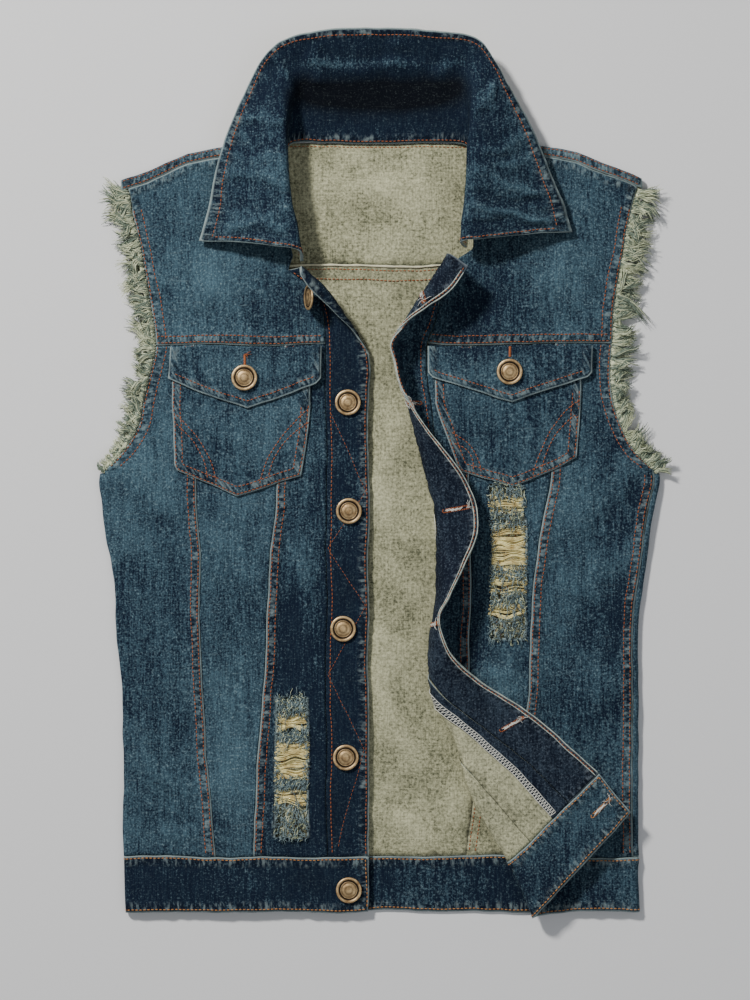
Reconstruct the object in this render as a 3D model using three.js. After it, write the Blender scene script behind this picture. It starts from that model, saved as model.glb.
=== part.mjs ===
// A cropped-armhole denim vest, lying on its back with the front open.
// Millimetres, +Z up from the surface it lies on, +Y toward the collar.
// "Right" and "left" are the wearer's, so the right half has negative X.
import * as THREE from "three";

// Cloth thicknesses and the gap kept between two sewn pieces
const SINGLE = 1.2;
const DOUBLE = 2.2;
const SEAM_GAP = 0.3;
const LAY_GAP = 0.3;

// Heights of the mid-surfaces of the two layers
const BACK_Z = 0.6;
const FRONT_Z = 5.8;
const FOLD_R = (FRONT_Z - BACK_Z) / 2;
const BAND_BACK_Z = 1.1;
const BAND_FRONT_Z = 6.5;
const BAND_FOLD_R = (BAND_FRONT_Z - BAND_BACK_Z) / 2;

// Main heights along Y
const YOKE_SEAM_Y = 108;
const BACK_YOKE_SEAM_Y = 174;
const ARMHOLE_END_Y = 2;
const BAND_TOP_Y = -313;
const BAND_BOTTOM_Y = -358;
const BACK_NECK_Y = 273.5;

// Felled seams: a raised strip beside the seam line
const WELT = 8.5;
const WELT_RISE = 0.7;
const WELT_STEP = 0.9;

// Widths of the small strips
const FRINGE_STRIP = 3.8;
const FRINGE_GAP = 0.8;
const UNDER_WRAP = 8;
const SHOULDER_LAP = 8.5;
const FACING_T = 0.8;

// Front bands
const PLACKET = 35;
const RIGHT_EDGE_X = -14;
const LEFT_EDGE_X = 4;
const RIGHT_INNER_X = RIGHT_EDGE_X - PLACKET;
const LEFT_INNER_X = LEFT_EDGE_X + PLACKET;

// Outer line of each half: armhole edge down to the underarm, then the side fold
const SILHOUETTE = [
  { y: 239, right: -216, left: 211 },
  { y: 212, right: -212, left: 203 },
  { y: 180, right: -204, left: 197 },
  { y: 135, right: -196, left: 191 },
  { y: 108, right: -194, left: 189 },
  { y: 88, right: -197, left: 188 },
  { y: 64, right: -202, left: 190 },
  { y: 39, right: -209, left: 198 },
  { y: 16, right: -223, left: 212 },
  { y: 2, right: -235, left: 225 },
  { y: -24, right: -233, left: 221 },
  { y: -52, right: -230, left: 216 },
  { y: -93, right: -224, left: 211 },
  { y: -143, right: -221, left: 208 },
  { y: -184, right: -217, left: 208 },
  { y: -266, right: -216, left: 208 },
  { y: -313, right: -216, left: 208 },
  { y: -358, right: -214, left: 209 },
];

// The two slanted seams of each front, from the yoke to the hem band
const FRONT_SEAMS = [
  { y: 108, rightOuter: -158, rightInner: -84, leftInner: 71, leftOuter: 139 },
  { y: -8, rightOuter: -155, rightInner: -89, leftInner: 69, leftOuter: 134 },
  { y: -60, rightOuter: -153, rightInner: -95, leftInner: 69, leftOuter: 124 },
  { y: -120, rightOuter: -152, rightInner: -98, leftInner: 69, leftOuter: 119 },
  { y: -187, rightOuter: -149, rightInner: -103, leftInner: 71, leftOuter: 116 },
  { y: -257, rightOuter: -145, rightInner: -107, leftInner: 78, leftOuter: 113 },
  { y: -313, rightOuter: -141, rightInner: -109, leftInner: 84, leftOuter: 111 },
];

// The two slanted seams of the back
const BACK_SEAMS = [
  { y: 174, right: -125, left: 121 },
  { y: 0, right: -108, left: 104 },
  { y: -160, right: -86, left: 84 },
  { y: -313, right: -70, left: 67 },
];

// Right front edge: where its top rolls up and outward. A row per height:
// the fold line in space, the free edge in space, and the width of the rise.
const RIGHT_ROLL = [
  { y: 168, foldX: -70, foldY: 170, foldZ: 26, edgeX: -70, edgeY: 163, edgeZ: 33, rise: 40 },
  { y: 158, foldX: -56, foldY: 158, foldZ: 25, edgeX: -63, edgeY: 152, edgeZ: 32, rise: 40 },
  { y: 147, foldX: -43, foldY: 144, foldZ: 21, edgeX: -52, edgeY: 142, edgeZ: 28, rise: 36 },
  { y: 126, foldX: -28, foldY: 124, foldZ: 15, edgeX: -33, edgeY: 125, edgeZ: 20, rise: 28 },
  { y: 113, foldX: -20, foldY: 112, foldZ: 10, edgeX: -22, edgeY: 113, edgeZ: 13, rise: 20 },
  { y: 98, foldX: -14, foldY: 98, foldZ: 6, edgeX: -14, edgeY: 98, edgeZ: 6.2, rise: 12 },
  { y: 70, foldX: -14, foldY: 70, foldZ: 5.8, edgeX: -14, edgeY: 70, edgeZ: 5.8, rise: 12 },
];

// Left front edge: it stands up at the top and is turned right over below
const LEFT_TURN = [
  { y: 172, foldX: 50, foldY: 181, foldZ: 26, edgeX: 66, edgeY: 170, edgeZ: 34, rise: 40 },
  { y: 158, foldX: 45, foldY: 172, foldZ: 26, edgeX: 53, edgeY: 151, edgeZ: 35, rise: 40 },
  { y: 140, foldX: 32, foldY: 151, foldZ: 24, edgeX: 35, edgeY: 138, edgeZ: 34, rise: 34 },
  { y: 124, foldX: 18, foldY: 130, foldZ: 20, edgeX: 16, edgeY: 125, edgeZ: 31, rise: 26 },
  { y: 110, foldX: 8, foldY: 111, foldZ: 16, edgeX: 4, edgeY: 109, edgeZ: 30, rise: 18 },
  { y: 93, foldX: 8, foldY: 93, foldZ: 14, edgeX: 6, edgeY: 92, edgeZ: 30, rise: 14 },
  { y: 74, foldX: 13, foldY: 73, foldZ: 13, edgeX: 11, edgeY: 72, edgeZ: 31, rise: 12 },
  { y: 52, foldX: 20, foldY: 52, foldZ: 13, edgeX: 25, edgeY: 52, edgeZ: 30, rise: 12 },
  { y: 26, foldX: 26, foldY: 27, foldZ: 13, edgeX: 42, edgeY: 28, edgeZ: 27, rise: 12 },
  { y: -3, foldX: 33, foldY: -2, foldZ: 12, edgeX: 62, edgeY: 2, edgeZ: 23, rise: 12 },
  { y: -21, foldX: 39, foldY: -21, foldZ: 12, edgeX: 71, edgeY: -16, edgeZ: 21, rise: 12 },
  { y: -37, foldX: 41, foldY: -37, foldZ: 12, edgeX: 75, edgeY: -32, edgeZ: 21, rise: 12 },
  { y: -53, foldX: 42, foldY: -53, foldZ: 12, edgeX: 74, edgeY: -49, edgeZ: 25, rise: 12 },
  { y: -77, foldX: 41, foldY: -77, foldZ: 13, edgeX: 64, edgeY: -73, edgeZ: 33, rise: 12 },
  { y: -103, foldX: 41, foldY: -102, foldZ: 14, edgeX: 52, edgeY: -98, edgeZ: 39, rise: 14 },
  { y: -119, foldX: 39, foldY: -117, foldZ: 15, edgeX: 44, edgeY: -114, edgeZ: 41, rise: 14 },
  { y: -133, foldX: 36, foldY: -131, foldZ: 15, edgeX: 46, edgeY: -128, edgeZ: 40, rise: 14 },
  { y: -149, foldX: 34, foldY: -148, foldZ: 15, edgeX: 54, edgeY: -144, edgeZ: 36, rise: 14 },
  { y: -171, foldX: 36, foldY: -171, foldZ: 14, edgeX: 70, edgeY: -161, edgeZ: 28, rise: 12 },
  { y: -190, foldX: 42, foldY: -189, foldZ: 13, edgeX: 85, edgeY: -174, edgeZ: 24, rise: 12 },
  { y: -216, foldX: 55, foldY: -216, foldZ: 13, edgeX: 107, edgeY: -187, edgeZ: 21, rise: 12 },
  { y: -252, foldX: 66, foldY: -252, foldZ: 13, edgeX: 135, edgeY: -207, edgeZ: 20, rise: 12 },
  { y: -283, foldX: 80, foldY: -283, foldZ: 13, edgeX: 158, edgeY: -229, edgeZ: 20, rise: 12 },
  { y: -313, foldX: 100, foldY: -317, foldZ: 13, edgeX: 174, edgeY: -243, edgeZ: 20, rise: 12 },
  { y: -360, foldX: 122, foldY: -363, foldZ: 13, edgeX: 202, edgeY: -276, edgeZ: 20, rise: 12 },
];

// Collar, a row per station from the right front end round to the left one:
// the neck seam, the roll line and the free edge
const COLLAR = [
  { neck: [-69, 175, 18], roll: [-71, 184, 30], edge: [-153, 193, 11] },
  { neck: [-75, 197, 16], roll: [-72, 200, 31], edge: [-147, 216, 12] },
  { neck: [-81, 222, 13], roll: [-78, 226, 31], edge: [-141, 241, 14] },
  { neck: [-84, 246, 9], roll: [-82, 262, 30], edge: [-131, 277, 17] },
  { neck: [-84, 262, 5.5], roll: [-82, 292, 27], edge: [-117, 312, 20] },
  { neck: [-80, 271, 3.4], roll: [-78, 318, 21], edge: [-103, 338, 22] },
  { neck: [-71, 273.6, 2.2], roll: [-69, 324, 15], edge: [-85, 354, 24] },
  { neck: [-46, 274, 1.8], roll: [-46, 321, 12], edge: [-54, 363, 26] },
  { neck: [-6, 274, 1.8], roll: [-5, 320, 11], edge: [-5, 365, 26] },
  { neck: [36, 274, 1.8], roll: [36, 321, 12], edge: [44, 363, 26] },
  { neck: [58, 273.6, 2.2], roll: [61, 324, 15], edge: [74, 356, 24] },
  { neck: [68, 271, 3.4], roll: [69, 318, 21], edge: [89, 339, 22] },
  { neck: [71, 262, 5.5], roll: [70, 292, 27], edge: [103, 315, 20] },
  { neck: [71, 246, 9], roll: [68, 262, 30], edge: [121, 282, 17] },
  { neck: [68, 222, 13], roll: [66, 226, 31], edge: [136, 244, 14] },
  { neck: [66, 203, 16], roll: [63, 205, 31], edge: [147, 220, 12] },
  { neck: [65, 187, 18], roll: [61, 191, 30], edge: [153, 200, 11] },
];

const COLLAR_PARTS = 8;

// Back yoke, a row per column of its grid from the right armhole to the left:
// x at the yoke seam, x and y at the top. Shoulder columns fold to the front.
const BACK_YOKE = [
  { low: -203, high: -218, top: 243.5, shoulder: true },
  { low: -172, high: -194, top: 251, shoulder: true },
  { low: -145, high: -163, top: 265, shoulder: true },
  { low: -115, high: -134, top: 270.5, shoulder: true },
  { low: -84, high: -89, top: 272.5, shoulder: true },
  { low: -46, high: -46, top: BACK_NECK_Y, shoulder: false },
  { low: -6, high: -6, top: BACK_NECK_Y, shoulder: false },
  { low: 36, high: 36, top: BACK_NECK_Y, shoulder: false },
  { low: 74, high: 77, top: 272.5, shoulder: true },
  { low: 103, high: 129, top: 272, shoulder: true },
  { low: 136, high: 157, top: 266.5, shoulder: true },
  { low: 165, high: 188, top: 254, shoulder: true },
  { low: 197, high: 210, top: 244, shoulder: true },
];

// Neck edge of each front yoke, from the shoulder seam down
const NECK_EDGE = {
  right: [
    { x: -89, y: 264, z: 5.8 },
    { x: -88.5, y: 246, z: 6 },
    { x: -86, y: 222, z: 6.5 },
    { x: -80, y: 198, z: 7.5 },
    { x: -76, y: 181, z: 8 },
  ],
  left: [
    { x: 77, y: 264, z: 5.8 },
    { x: 76, y: 246, z: 6 },
    { x: 73, y: 222, z: 6.5 },
    { x: 72, y: 203, z: 7.5 },
    { x: 71, y: 187, z: 8 },
  ],
};

// Patch pockets and their pointed flaps: a row per column of the shape
const POCKET_RIGHT = [
  { x: -174.5, top: 82, bottom: 10 },
  { x: -172, top: 82, bottom: 5 },
  { x: -148, top: 82, bottom: -5 },
  { x: -123, top: 82, bottom: -16 },
  { x: -96, top: 82, bottom: -9 },
  { x: -69, top: 82, bottom: 0 },
  { x: -62, top: 82, bottom: 60 },
];
const POCKET_LEFT = [
  { x: 40, top: 82, bottom: 60 },
  { x: 60, top: 82, bottom: 4 },
  { x: 82, top: 82, bottom: -3 },
  { x: 105, top: 82, bottom: -9 },
  { x: 130, top: 82, bottom: 3 },
  { x: 156, top: 82, bottom: 15 },
  { x: 160, top: 82, bottom: 72 },
];
const FLAP_RIGHT = [
  { x: -178, top: 105.5, bottom: 80 },
  { x: -170, top: 106, bottom: 76 },
  { x: -145, top: 106, bottom: 66 },
  { x: -115, top: 106, bottom: 55 },
  { x: -84, top: 106, bottom: 66 },
  { x: -57, top: 106, bottom: 76 },
  { x: -52.5, top: 106, bottom: 80 },
];
const FLAP_LEFT = [
  { x: 34, top: 106, bottom: 84 },
  { x: 38, top: 106, bottom: 80 },
  { x: 70, top: 106, bottom: 71 },
  { x: 104, top: 106, bottom: 61 },
  { x: 137, top: 106, bottom: 72 },
  { x: 165, top: 106, bottom: 82 },
  { x: 169, top: 106, bottom: 86 },
];

// Torn windows and the bands of bare cross threads that still fill them
const RIP_RIGHT = {
  right: -90,
  left: -65,
  top: -183,
  bottom: -297,
  bands: [
    { top: -196, bottom: -211 },
    { top: -216, bottom: -251 },
    { top: -257, bottom: -271 },
  ],
};
const RIP_LEFT = {
  right: 86,
  left: 114,
  top: -8,
  bottom: -133,
  bands: [
    { top: -17, bottom: -30 },
    { top: -41, bottom: -79 },
    { top: -82, bottom: -96 },
    { top: -107, bottom: -116 },
  ],
};

// Frayed locks along the armholes
const LOCKS = 60;
const LOCK_REACH = 12;
const LOCK_WIDTH = 1.7;
const LOCK_TIP_Z = 2.4;
const LOCK_T = 1;
const THREAD_CLEAR = 0.4;

// Buttons
const BUTTON_R = 10.6;
const TOP_BUTTON = { base: [-61.5, 146, 19.5], faces: [-0.94, 0, 0.34] };
const FRONT_BUTTONS = [
  { u: -31, y: 60.5 },
  { u: -31, y: -29.5 },
  { u: -35, y: -124.5 },
  { u: -33.5, y: -230.5 },
  { u: -31.5, y: -338.5 },
];

const DENIM = 0x2b4450;
const INSIDE = 0x8d8b7c;
const FACING = 0x33404a;
const THREADS = 0xb9a77c;
const FRINGE = 0xb3b49e;
const COPPER = 0x9a6f4a;

const vec = (x, y, z) => new THREE.Vector3(x, y, z);
const UP = vec(0, 0, 1);
const lerp = (a, b, t) => a + (b - a) * t;
const clamp = (value, low, high) => Math.min(high, Math.max(low, value));

// Value of one column of a table at height y, along a smooth curve
function read(table, column, y) {
  const rows = table;
  const down = rows[0].y > rows[rows.length - 1].y;
  let i = 0;
  while (i < rows.length - 2 && (down ? y < rows[i + 1].y : y > rows[i + 1].y)) i += 1;
  const a = rows[i];
  const b = rows[i + 1];
  const before = rows[Math.max(0, i - 1)];
  const after = rows[Math.min(rows.length - 1, i + 2)];
  const t = clamp((y - a.y) / (b.y - a.y), 0, 1);
  const span = b.y - a.y;
  const slopeA = ((b[column] - before[column]) / (b.y - before.y || 1)) * span;
  const slopeB = ((after[column] - a[column]) / (after.y - a.y || 1)) * span;
  const t2 = t * t;
  const t3 = t2 * t;
  return (
    (2 * t3 - 3 * t2 + 1) * a[column] +
    (t3 - 2 * t2 + t) * slopeA +
    (3 * t2 - 2 * t3) * b[column] +
    (t3 - t2) * slopeB
  );
}

// Even heights from top to bottom, with given heights always among them
function heights(top, bottom, step, fixed = []) {
  const marks = [top, ...fixed.filter((y) => y < top && y > bottom), bottom];
  marks.sort((a, b) => b - a);
  const rows = [marks[0]];
  for (let i = 1; i < marks.length; i += 1) {
    const parts = Math.max(1, Math.round((marks[i - 1] - marks[i]) / step));
    for (let k = 1; k <= parts; k += 1) rows.push(lerp(marks[i - 1], marks[i], k / parts));
  }
  return rows;
}

// Columns across a panel: raised strips at either end, even parts between
function columns(parts, { weltStart = false, weltEnd = false } = {}) {
  const list = [];
  if (weltStart) {
    list.push({ from: "start", d: 0, up: WELT_RISE });
    list.push({ from: "start", d: WELT, up: WELT_RISE });
    list.push({ from: "start", d: WELT + WELT_STEP, up: 0 });
  } else {
    list.push({ from: "start", d: 0, up: 0 });
  }
  for (let k = 1; k < parts; k += 1) list.push({ from: "middle", d: k / parts, up: 0 });
  if (weltEnd) {
    list.push({ from: "end", d: WELT + WELT_STEP, up: 0 });
    list.push({ from: "end", d: WELT, up: WELT_RISE });
    list.push({ from: "end", d: 0, up: WELT_RISE });
  } else {
    list.push({ from: "end", d: 0, up: 0 });
  }
  return list;
}

// Place of a column between the two ends of a row, given the row's signed width
function columnAt(column, a, b, weltStart, weltEnd) {
  const sign = Math.sign(b - a);
  const low = a + sign * (weltStart ? WELT + WELT_STEP : 0);
  const high = b - sign * (weltEnd ? WELT + WELT_STEP : 0);
  if (column.from === "start") return a + sign * column.d;
  if (column.from === "end") return b - sign * column.d;
  return lerp(low, high, column.d);
}

// A cloth wall on a grid of mid-surface points. Each point may carry `up`, how
// far its outer face is raised. `present(i, j)` says which cells are cloth.
function clothWall(name, grid, { thickness, color, present = () => true, flip = false }) {
  const rows = grid.length;
  const cols = grid[0].length;
  const outer = [];
  const inner = [];
  for (let i = 0; i < rows; i += 1) {
    for (let j = 0; j < cols; j += 1) {
      const east = grid[i][Math.min(cols - 1, j + 1)].p;
      const west = grid[i][Math.max(0, j - 1)].p;
      const south = grid[Math.min(rows - 1, i + 1)][j].p;
      const north = grid[Math.max(0, i - 1)][j].p;
      const across = vec(0, 0, 0).subVectors(east, west);
      const along = vec(0, 0, 0).subVectors(south, north);
      const { p, up = 0, n } = grid[i][j];
      const normal = n ? n.clone() : vec(0, 0, 0).crossVectors(along, across).normalize();
      if (flip && !n) normal.negate();
      outer.push(p.clone().addScaledVector(normal, thickness / 2 + up));
      inner.push(p.clone().addScaledVector(normal, -thickness / 2));
    }
  }
  const has = (i, j) => i >= 0 && j >= 0 && i < rows - 1 && j < cols - 1 && present(i, j);
  const positions = [];
  const quad = (a, b, c, d) => {
    const order = flip ? [a, c, b, a, d, c] : [a, b, c, a, c, d];
    for (const point of order) positions.push(point.x, point.y, point.z);
  };
  const at = (i, j) => i * cols + j;
  for (let i = 0; i < rows - 1; i += 1) {
    for (let j = 0; j < cols - 1; j += 1) {
      if (!has(i, j)) continue;
      const nw = at(i, j);
      const ne = at(i, j + 1);
      const se = at(i + 1, j + 1);
      const sw = at(i + 1, j);
      quad(outer[nw], outer[sw], outer[se], outer[ne]);
      quad(inner[nw], inner[ne], inner[se], inner[sw]);
      if (!has(i - 1, j)) quad(outer[nw], outer[ne], inner[ne], inner[nw]);
      if (!has(i + 1, j)) quad(outer[se], outer[sw], inner[sw], inner[se]);
      if (!has(i, j - 1)) quad(outer[sw], outer[nw], inner[nw], inner[sw]);
      if (!has(i, j + 1)) quad(outer[ne], outer[se], inner[se], inner[ne]);
    }
  }
  return solid(name, positions, color);
}

function solid(name, positions, color) {
  const geometry = new THREE.BufferGeometry();
  geometry.setAttribute("position", new THREE.Float32BufferAttribute(positions, 3));
  geometry.computeVertexNormals();
  return named(name, geometry, color);
}

function named(name, geometry, color) {
  const metal = color === COPPER;
  const material = new THREE.MeshStandardMaterial({
    color,
    roughness: metal ? 0.4 : 0.9,
    metalness: metal ? 1 : 0,
  });
  material.name = name;
  const mesh = new THREE.Mesh(geometry, material);
  mesh.name = name;
  return mesh;
}

// Cloth of a front at flat place (u, y), carried along by its front edge:
// it rises to the fold line, and what lies beyond the fold turns back over.
function drape(table, edgeX, u, y, side) {
  const top = table[0].y;
  const low = table[table.length - 1].y;
  const row = clamp(y, low, top);
  const get = (column) => read(table, column, row);
  const fold = vec(get("foldX"), get("foldY") + (y - row), get("foldZ"));
  const edge = vec(get("edgeX"), get("edgeY") + (y - row), get("edgeZ"));
  const turned = fold.distanceTo(edge);
  const foldU = edgeX + side * turned;
  const beyond = side * (foldU - u);
  if (beyond <= 0 || turned < 1) {
    const inward = Math.max(0, -beyond);
    const shift = fold.x - foldU;
    const fade = 1 - clamp(inward / Math.max(60, 3 * Math.abs(shift)), 0, 1);
    const climb = 1 - clamp(inward / get("rise"), 0, 1);
    return vec(
      u + shift * fade * fade,
      y + (fold.y - y) * fade * fade,
      FRONT_Z + (fold.z - FRONT_Z) * (1 - Math.sqrt(1 - climb * climb)),
    );
  }
  const lift = edge.z - fold.z;
  const share = clamp(beyond / turned, 0, 1);
  const round = 1 - clamp(beyond / Math.max(10, Math.min(turned, 1.1 * Math.abs(lift))), 0, 1);
  return vec(
    lerp(fold.x, edge.x, share),
    lerp(fold.y, edge.y, share),
    fold.z + lift * Math.sqrt(1 - round * round),
  );
}

// A place on the draped cloth with the direction of its outer face there
function onCloth(place, u, y) {
  const across = place(u + 1, y).sub(place(u - 1, y));
  const along = place(u, y - 1).sub(place(u, y + 1));
  return { p: place(u, y), n: vec(0, 0, 0).crossVectors(along, across).normalize() };
}

const drapeLeft = (u, y) => drape(LEFT_TURN, LEFT_EDGE_X, u, y, 1);
const drapeRight = (u, y) => drape(RIGHT_ROLL, RIGHT_EDGE_X, u, y, -1);
const flat = (x, y) => vec(x, y, FRONT_Z);
const half = SEAM_GAP / 2;

// A front panel between two seam curves, its columns running outward
function frontPanel(name, spec) {
  const { rows, start, end, parts, place, weltStart, weltEnd, hole, color = DENIM } = spec;
  const cols = columns(parts, { weltStart, weltEnd });
  const grid = rows.map((y) =>
    cols.map((column) => {
      const x = columnAt(column, start(y), end(y), weltStart, weltEnd);
      return { ...onCloth(place, x, y), up: column.up, x, y };
    }),
  );
  const present = (i, j) => {
    if (!hole) return true;
    const x = (grid[i][j].x + grid[i + 1][j + 1].x) / 2;
    const y = (grid[i][j].y + grid[i + 1][j + 1].y) / 2;
    return !(x > hole.right && x < hole.left && y < hole.top && y > hole.bottom);
  };
  const flip = end(rows[0]) < start(rows[0]);
  return clothWall(name, grid, { thickness: SINGLE, color, present, flip });
}

// Rows shared by neighbours, so their seams follow one another exactly
const PANEL_TOP = YOKE_SEAM_Y - half;
const PANEL_LOW = BAND_TOP_Y + half;
const RIGHT_EDGE_ROWS = [168, 158, 147, 136, 127, 119, YOKE_SEAM_Y + half];
const LEFT_EDGE_ROWS = [168, 156, 144, 132, 120, YOKE_SEAM_Y + half];
const RIGHT_ROWS = heights(PANEL_TOP, PANEL_LOW, 24, [98, 80, -8, RIP_RIGHT.top, RIP_RIGHT.bottom]);
const LEFT_ROWS = heights(PANEL_TOP, PANEL_LOW, 15, [RIP_LEFT.top, RIP_LEFT.bottom]);
const UNDERARM_ROWS = [88, 64, 52, 39, 27, 16, 9];
const SIDE_ROWS = heights(ARMHOLE_END_Y, PANEL_LOW, 30, [-8, -24, -60, -120, -187, -257]);

function frontCenterRight() {
  const { right, left, top, bottom } = RIP_RIGHT;
  const rows = RIGHT_ROWS;
  const marks = [0, 1 / 3, 2 / 3, 1];
  const grid = rows.map((y) => {
    const a = read(FRONT_SEAMS, "rightInner", y) + half;
    const b = RIGHT_INNER_X - half;
    const xs = [a, a + WELT, a + WELT + WELT_STEP];
    const holeStart = Math.max(right, a + WELT + 3);
    const wide = marks.map((t) => lerp(holeStart, left, t));
    const line = [...xs, ...wide, b];
    return line.map((x, j) => ({ ...onCloth(drapeRight, x, y), up: j < 2 ? WELT_RISE : 0, y }));
  });
  const present = (i, j) => !(j >= 3 && j < 6 && grid[i][j].y <= top && grid[i + 1][j].y >= bottom);
  return clothWall("front_center_right", grid, { thickness: SINGLE, color: DENIM, present });
}

function midLeftColumns(y) {
  const a = read(FRONT_SEAMS, "leftInner", y) + half;
  const b = read(FRONT_SEAMS, "leftOuter", y) - half;
  const torn = clamp((y - RIP_LEFT.bottom) / 60 + 1, 0, 1);
  const from = lerp(a + 6, RIP_LEFT.right, torn);
  const to = Math.min(RIP_LEFT.left, b - 3);
  return [a, (a + from) / 2, ...[0, 0.25, 0.5, 0.75, 1].map((t) => lerp(from, to, t)), b];
}

function frontMidLeft() {
  const { top, bottom } = RIP_LEFT;
  const rows = LEFT_ROWS;
  const grid = rows.map((y) => midLeftColumns(y).map((x) => ({ ...onCloth(drapeLeft, x, y), y })));
  const present = (i, j) => !(j >= 2 && j < 6 && grid[i][j].y <= top && grid[i + 1][j].y >= bottom);
  return clothWall("front_mid_left", grid, { thickness: SINGLE, color: DENIM, present });
}

function frontMidRight() {
  return frontPanel("front_mid_right", {
    rows: RIGHT_ROWS,
    start: (y) => read(FRONT_SEAMS, "rightInner", y) - half,
    end: (y) => read(FRONT_SEAMS, "rightOuter", y) + half,
    parts: 3,
    place: flat,
  });
}

function centerLeftColumns(y) {
  const end = read(FRONT_SEAMS, "leftInner", y) - half;
  return columns(6, { weltEnd: true }).map((column) => ({
    x: columnAt(column, LEFT_INNER_X + half, end, false, true),
    up: column.up,
  }));
}

function frontCenterLeft() {
  const grid = LEFT_ROWS.map((y) =>
    centerLeftColumns(y).map(({ x, up }) => ({ ...onCloth(drapeLeft, x, y), up })),
  );
  return clothWall("front_center_left", grid, { thickness: SINGLE, color: DENIM });
}

// Side panel of a front: outward from its seam to the armhole strip, and below
// the armhole round the side fold (right) or up to the seam beside it (left)
function frontSide(name, side) {
  const key = side < 0 ? "right" : "left";
  const seam = side < 0 ? "rightOuter" : "leftOuter";
  const rows = [PANEL_TOP, ...UNDERARM_ROWS, ...SIDE_ROWS];
  const wraps = side < 0;
  const arc = [0.25, 0.5, 0.75, 1];
  const grid = rows.map((y) => {
    const a = read(FRONT_SEAMS, seam, y) + side * half;
    const outline = read(SILHOUETTE, key, y);
    const open = y > ARMHOLE_END_Y + 0.01;
    const turn = outline - side * FOLD_R - side * (SINGLE / 2);
    const b = open ? outline - side * FRINGE_STRIP : wraps ? turn : outline - side * 5;
    const xs = [a, a + side * WELT, a + side * (WELT + WELT_STEP)];
    for (let k = 1; k <= 3; k += 1) xs.push(lerp(xs[2], b, k / 3));
    const line = xs.map((x, j) => ({ p: flat(x, y), up: j < 2 ? WELT_RISE : 0 }));
    if (!wraps) return line;
    for (const t of arc) {
      const angle = Math.PI * t;
      const x = turn + side * FOLD_R * Math.sin(angle);
      line.push({ p: vec(x, y, (FRONT_Z + BACK_Z) / 2 + FOLD_R * Math.cos(angle)) });
    }
    line.push({ p: vec(turn - side * UNDER_WRAP, y, BACK_Z) });
    return line;
  });
  const present = (i, j) => j < 5 || rows[i] <= ARMHOLE_END_Y + 0.01;
  return clothWall(name, grid, { thickness: SINGLE, color: DENIM, present, flip: side < 0 });
}

// Height of the shoulder seam on the front at x
function shoulderSeam(x) {
  const line = BACK_YOKE.filter((column) => column.shoulder);
  let i = 0;
  while (i < line.length - 2 && x > line[i + 1].high) i += 1;
  const t = clamp((x - line[i].high) / (line[i + 1].high - line[i].high), 0, 1);
  return lerp(line[i].top, line[i + 1].top, t) - SHOULDER_LAP;
}

// Yoke of a front, from its shoulder seam down to the seam over the panels
function frontYoke(name, side) {
  const key = side < 0 ? "right" : "left";
  const place = side < 0 ? drapeRight : drapeLeft;
  const inner = (side < 0 ? RIGHT_INNER_X : LEFT_INNER_X) + side * half;
  const out = (y) => read(SILHOUETTE, key, y) - side * FRINGE_STRIP;
  const neck = NECK_EDGE[key];
  const low = side < 0 ? RIGHT_EDGE_ROWS : LEFT_EDGE_ROWS;
  const outerTop = shoulderSeam(side * 214) - SEAM_GAP;
  const rows = [
    ...neck.map(({ x, y, z }, k) => {
      const outerY = lerp(outerTop, low[0], k / neck.length);
      return { a: vec(x, y, z), b: flat(out(outerY), outerY), seam: 1 - k / neck.length };
    }),
    ...low.map((y) => {
      const { p, n } = onCloth(place, inner, y);
      return { a: p, n, b: flat(out(y), y), seam: 0 };
    }),
  ];
  const shares = [0, 0.06, 0.14, 0.26, 0.4, 0.55, 0.7, 0.85, 1];
  const grid = rows.map(({ a, b, seam, n }) =>
    shares.map((share) => {
      const climb = 1 - clamp(share / 0.4, 0, 1);
      const z = FRONT_Z + (a.z - FRONT_Z) * climb * climb;
      const x = lerp(a.x, b.x, share);
      const straight = lerp(rows[0].a.y, rows[0].b.y, share);
      const bow = shoulderSeam(lerp(rows[0].a.x, rows[0].b.x, share)) - SEAM_GAP - straight;
      const p = vec(x, lerp(a.y, b.y, share) + bow * seam, z);
      return { p, up: 0, n: share === 0 ? n : undefined };
    }),
  );
  // rows close above the seam carry the raised strip
  const last = grid[grid.length - 1];
  const before = grid[grid.length - 2];
  const strip = (d, up) =>
    last.map(({ p }, j) => {
      const t = d / (before[j].p.y - p.y);
      return { p: p.clone().lerp(before[j].p, t), up, n: last[j].n };
    });
  grid.pop();
  grid.push(strip(WELT + WELT_STEP, 0), strip(WELT, WELT_RISE), strip(0, WELT_RISE));
  return clothWall(name, grid, { thickness: SINGLE, color: DENIM, flip: side < 0 });
}

// Bands down the two front edges
function placketRight() {
  const rows = [...RIGHT_EDGE_ROWS, ...RIGHT_ROWS];
  const shares = [0, 0.25, 0.5, 0.7, 0.85, 1];
  const grid = rows.map((y) =>
    shares.map((share) => onCloth(drapeRight, lerp(RIGHT_INNER_X + SEAM_GAP, RIGHT_EDGE_X, share), y)),
  );
  return clothWall("placket_right", grid, { thickness: DOUBLE, color: DENIM });
}

const PLACKET_SHARES = [0, 0.22, 0.42, 0.57, 0.72, 0.86, 1];

function placketLeft() {
  const rows = [172, ...LEFT_EDGE_ROWS, ...LEFT_ROWS];
  const grid = rows.map((y) =>
    PLACKET_SHARES.map((share) =>
      onCloth(drapeLeft, lerp(LEFT_EDGE_X, LEFT_INNER_X - SEAM_GAP, share), y),
    ),
  );
  return clothWall("placket_left", grid, { thickness: DOUBLE, color: DENIM });
}

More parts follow.
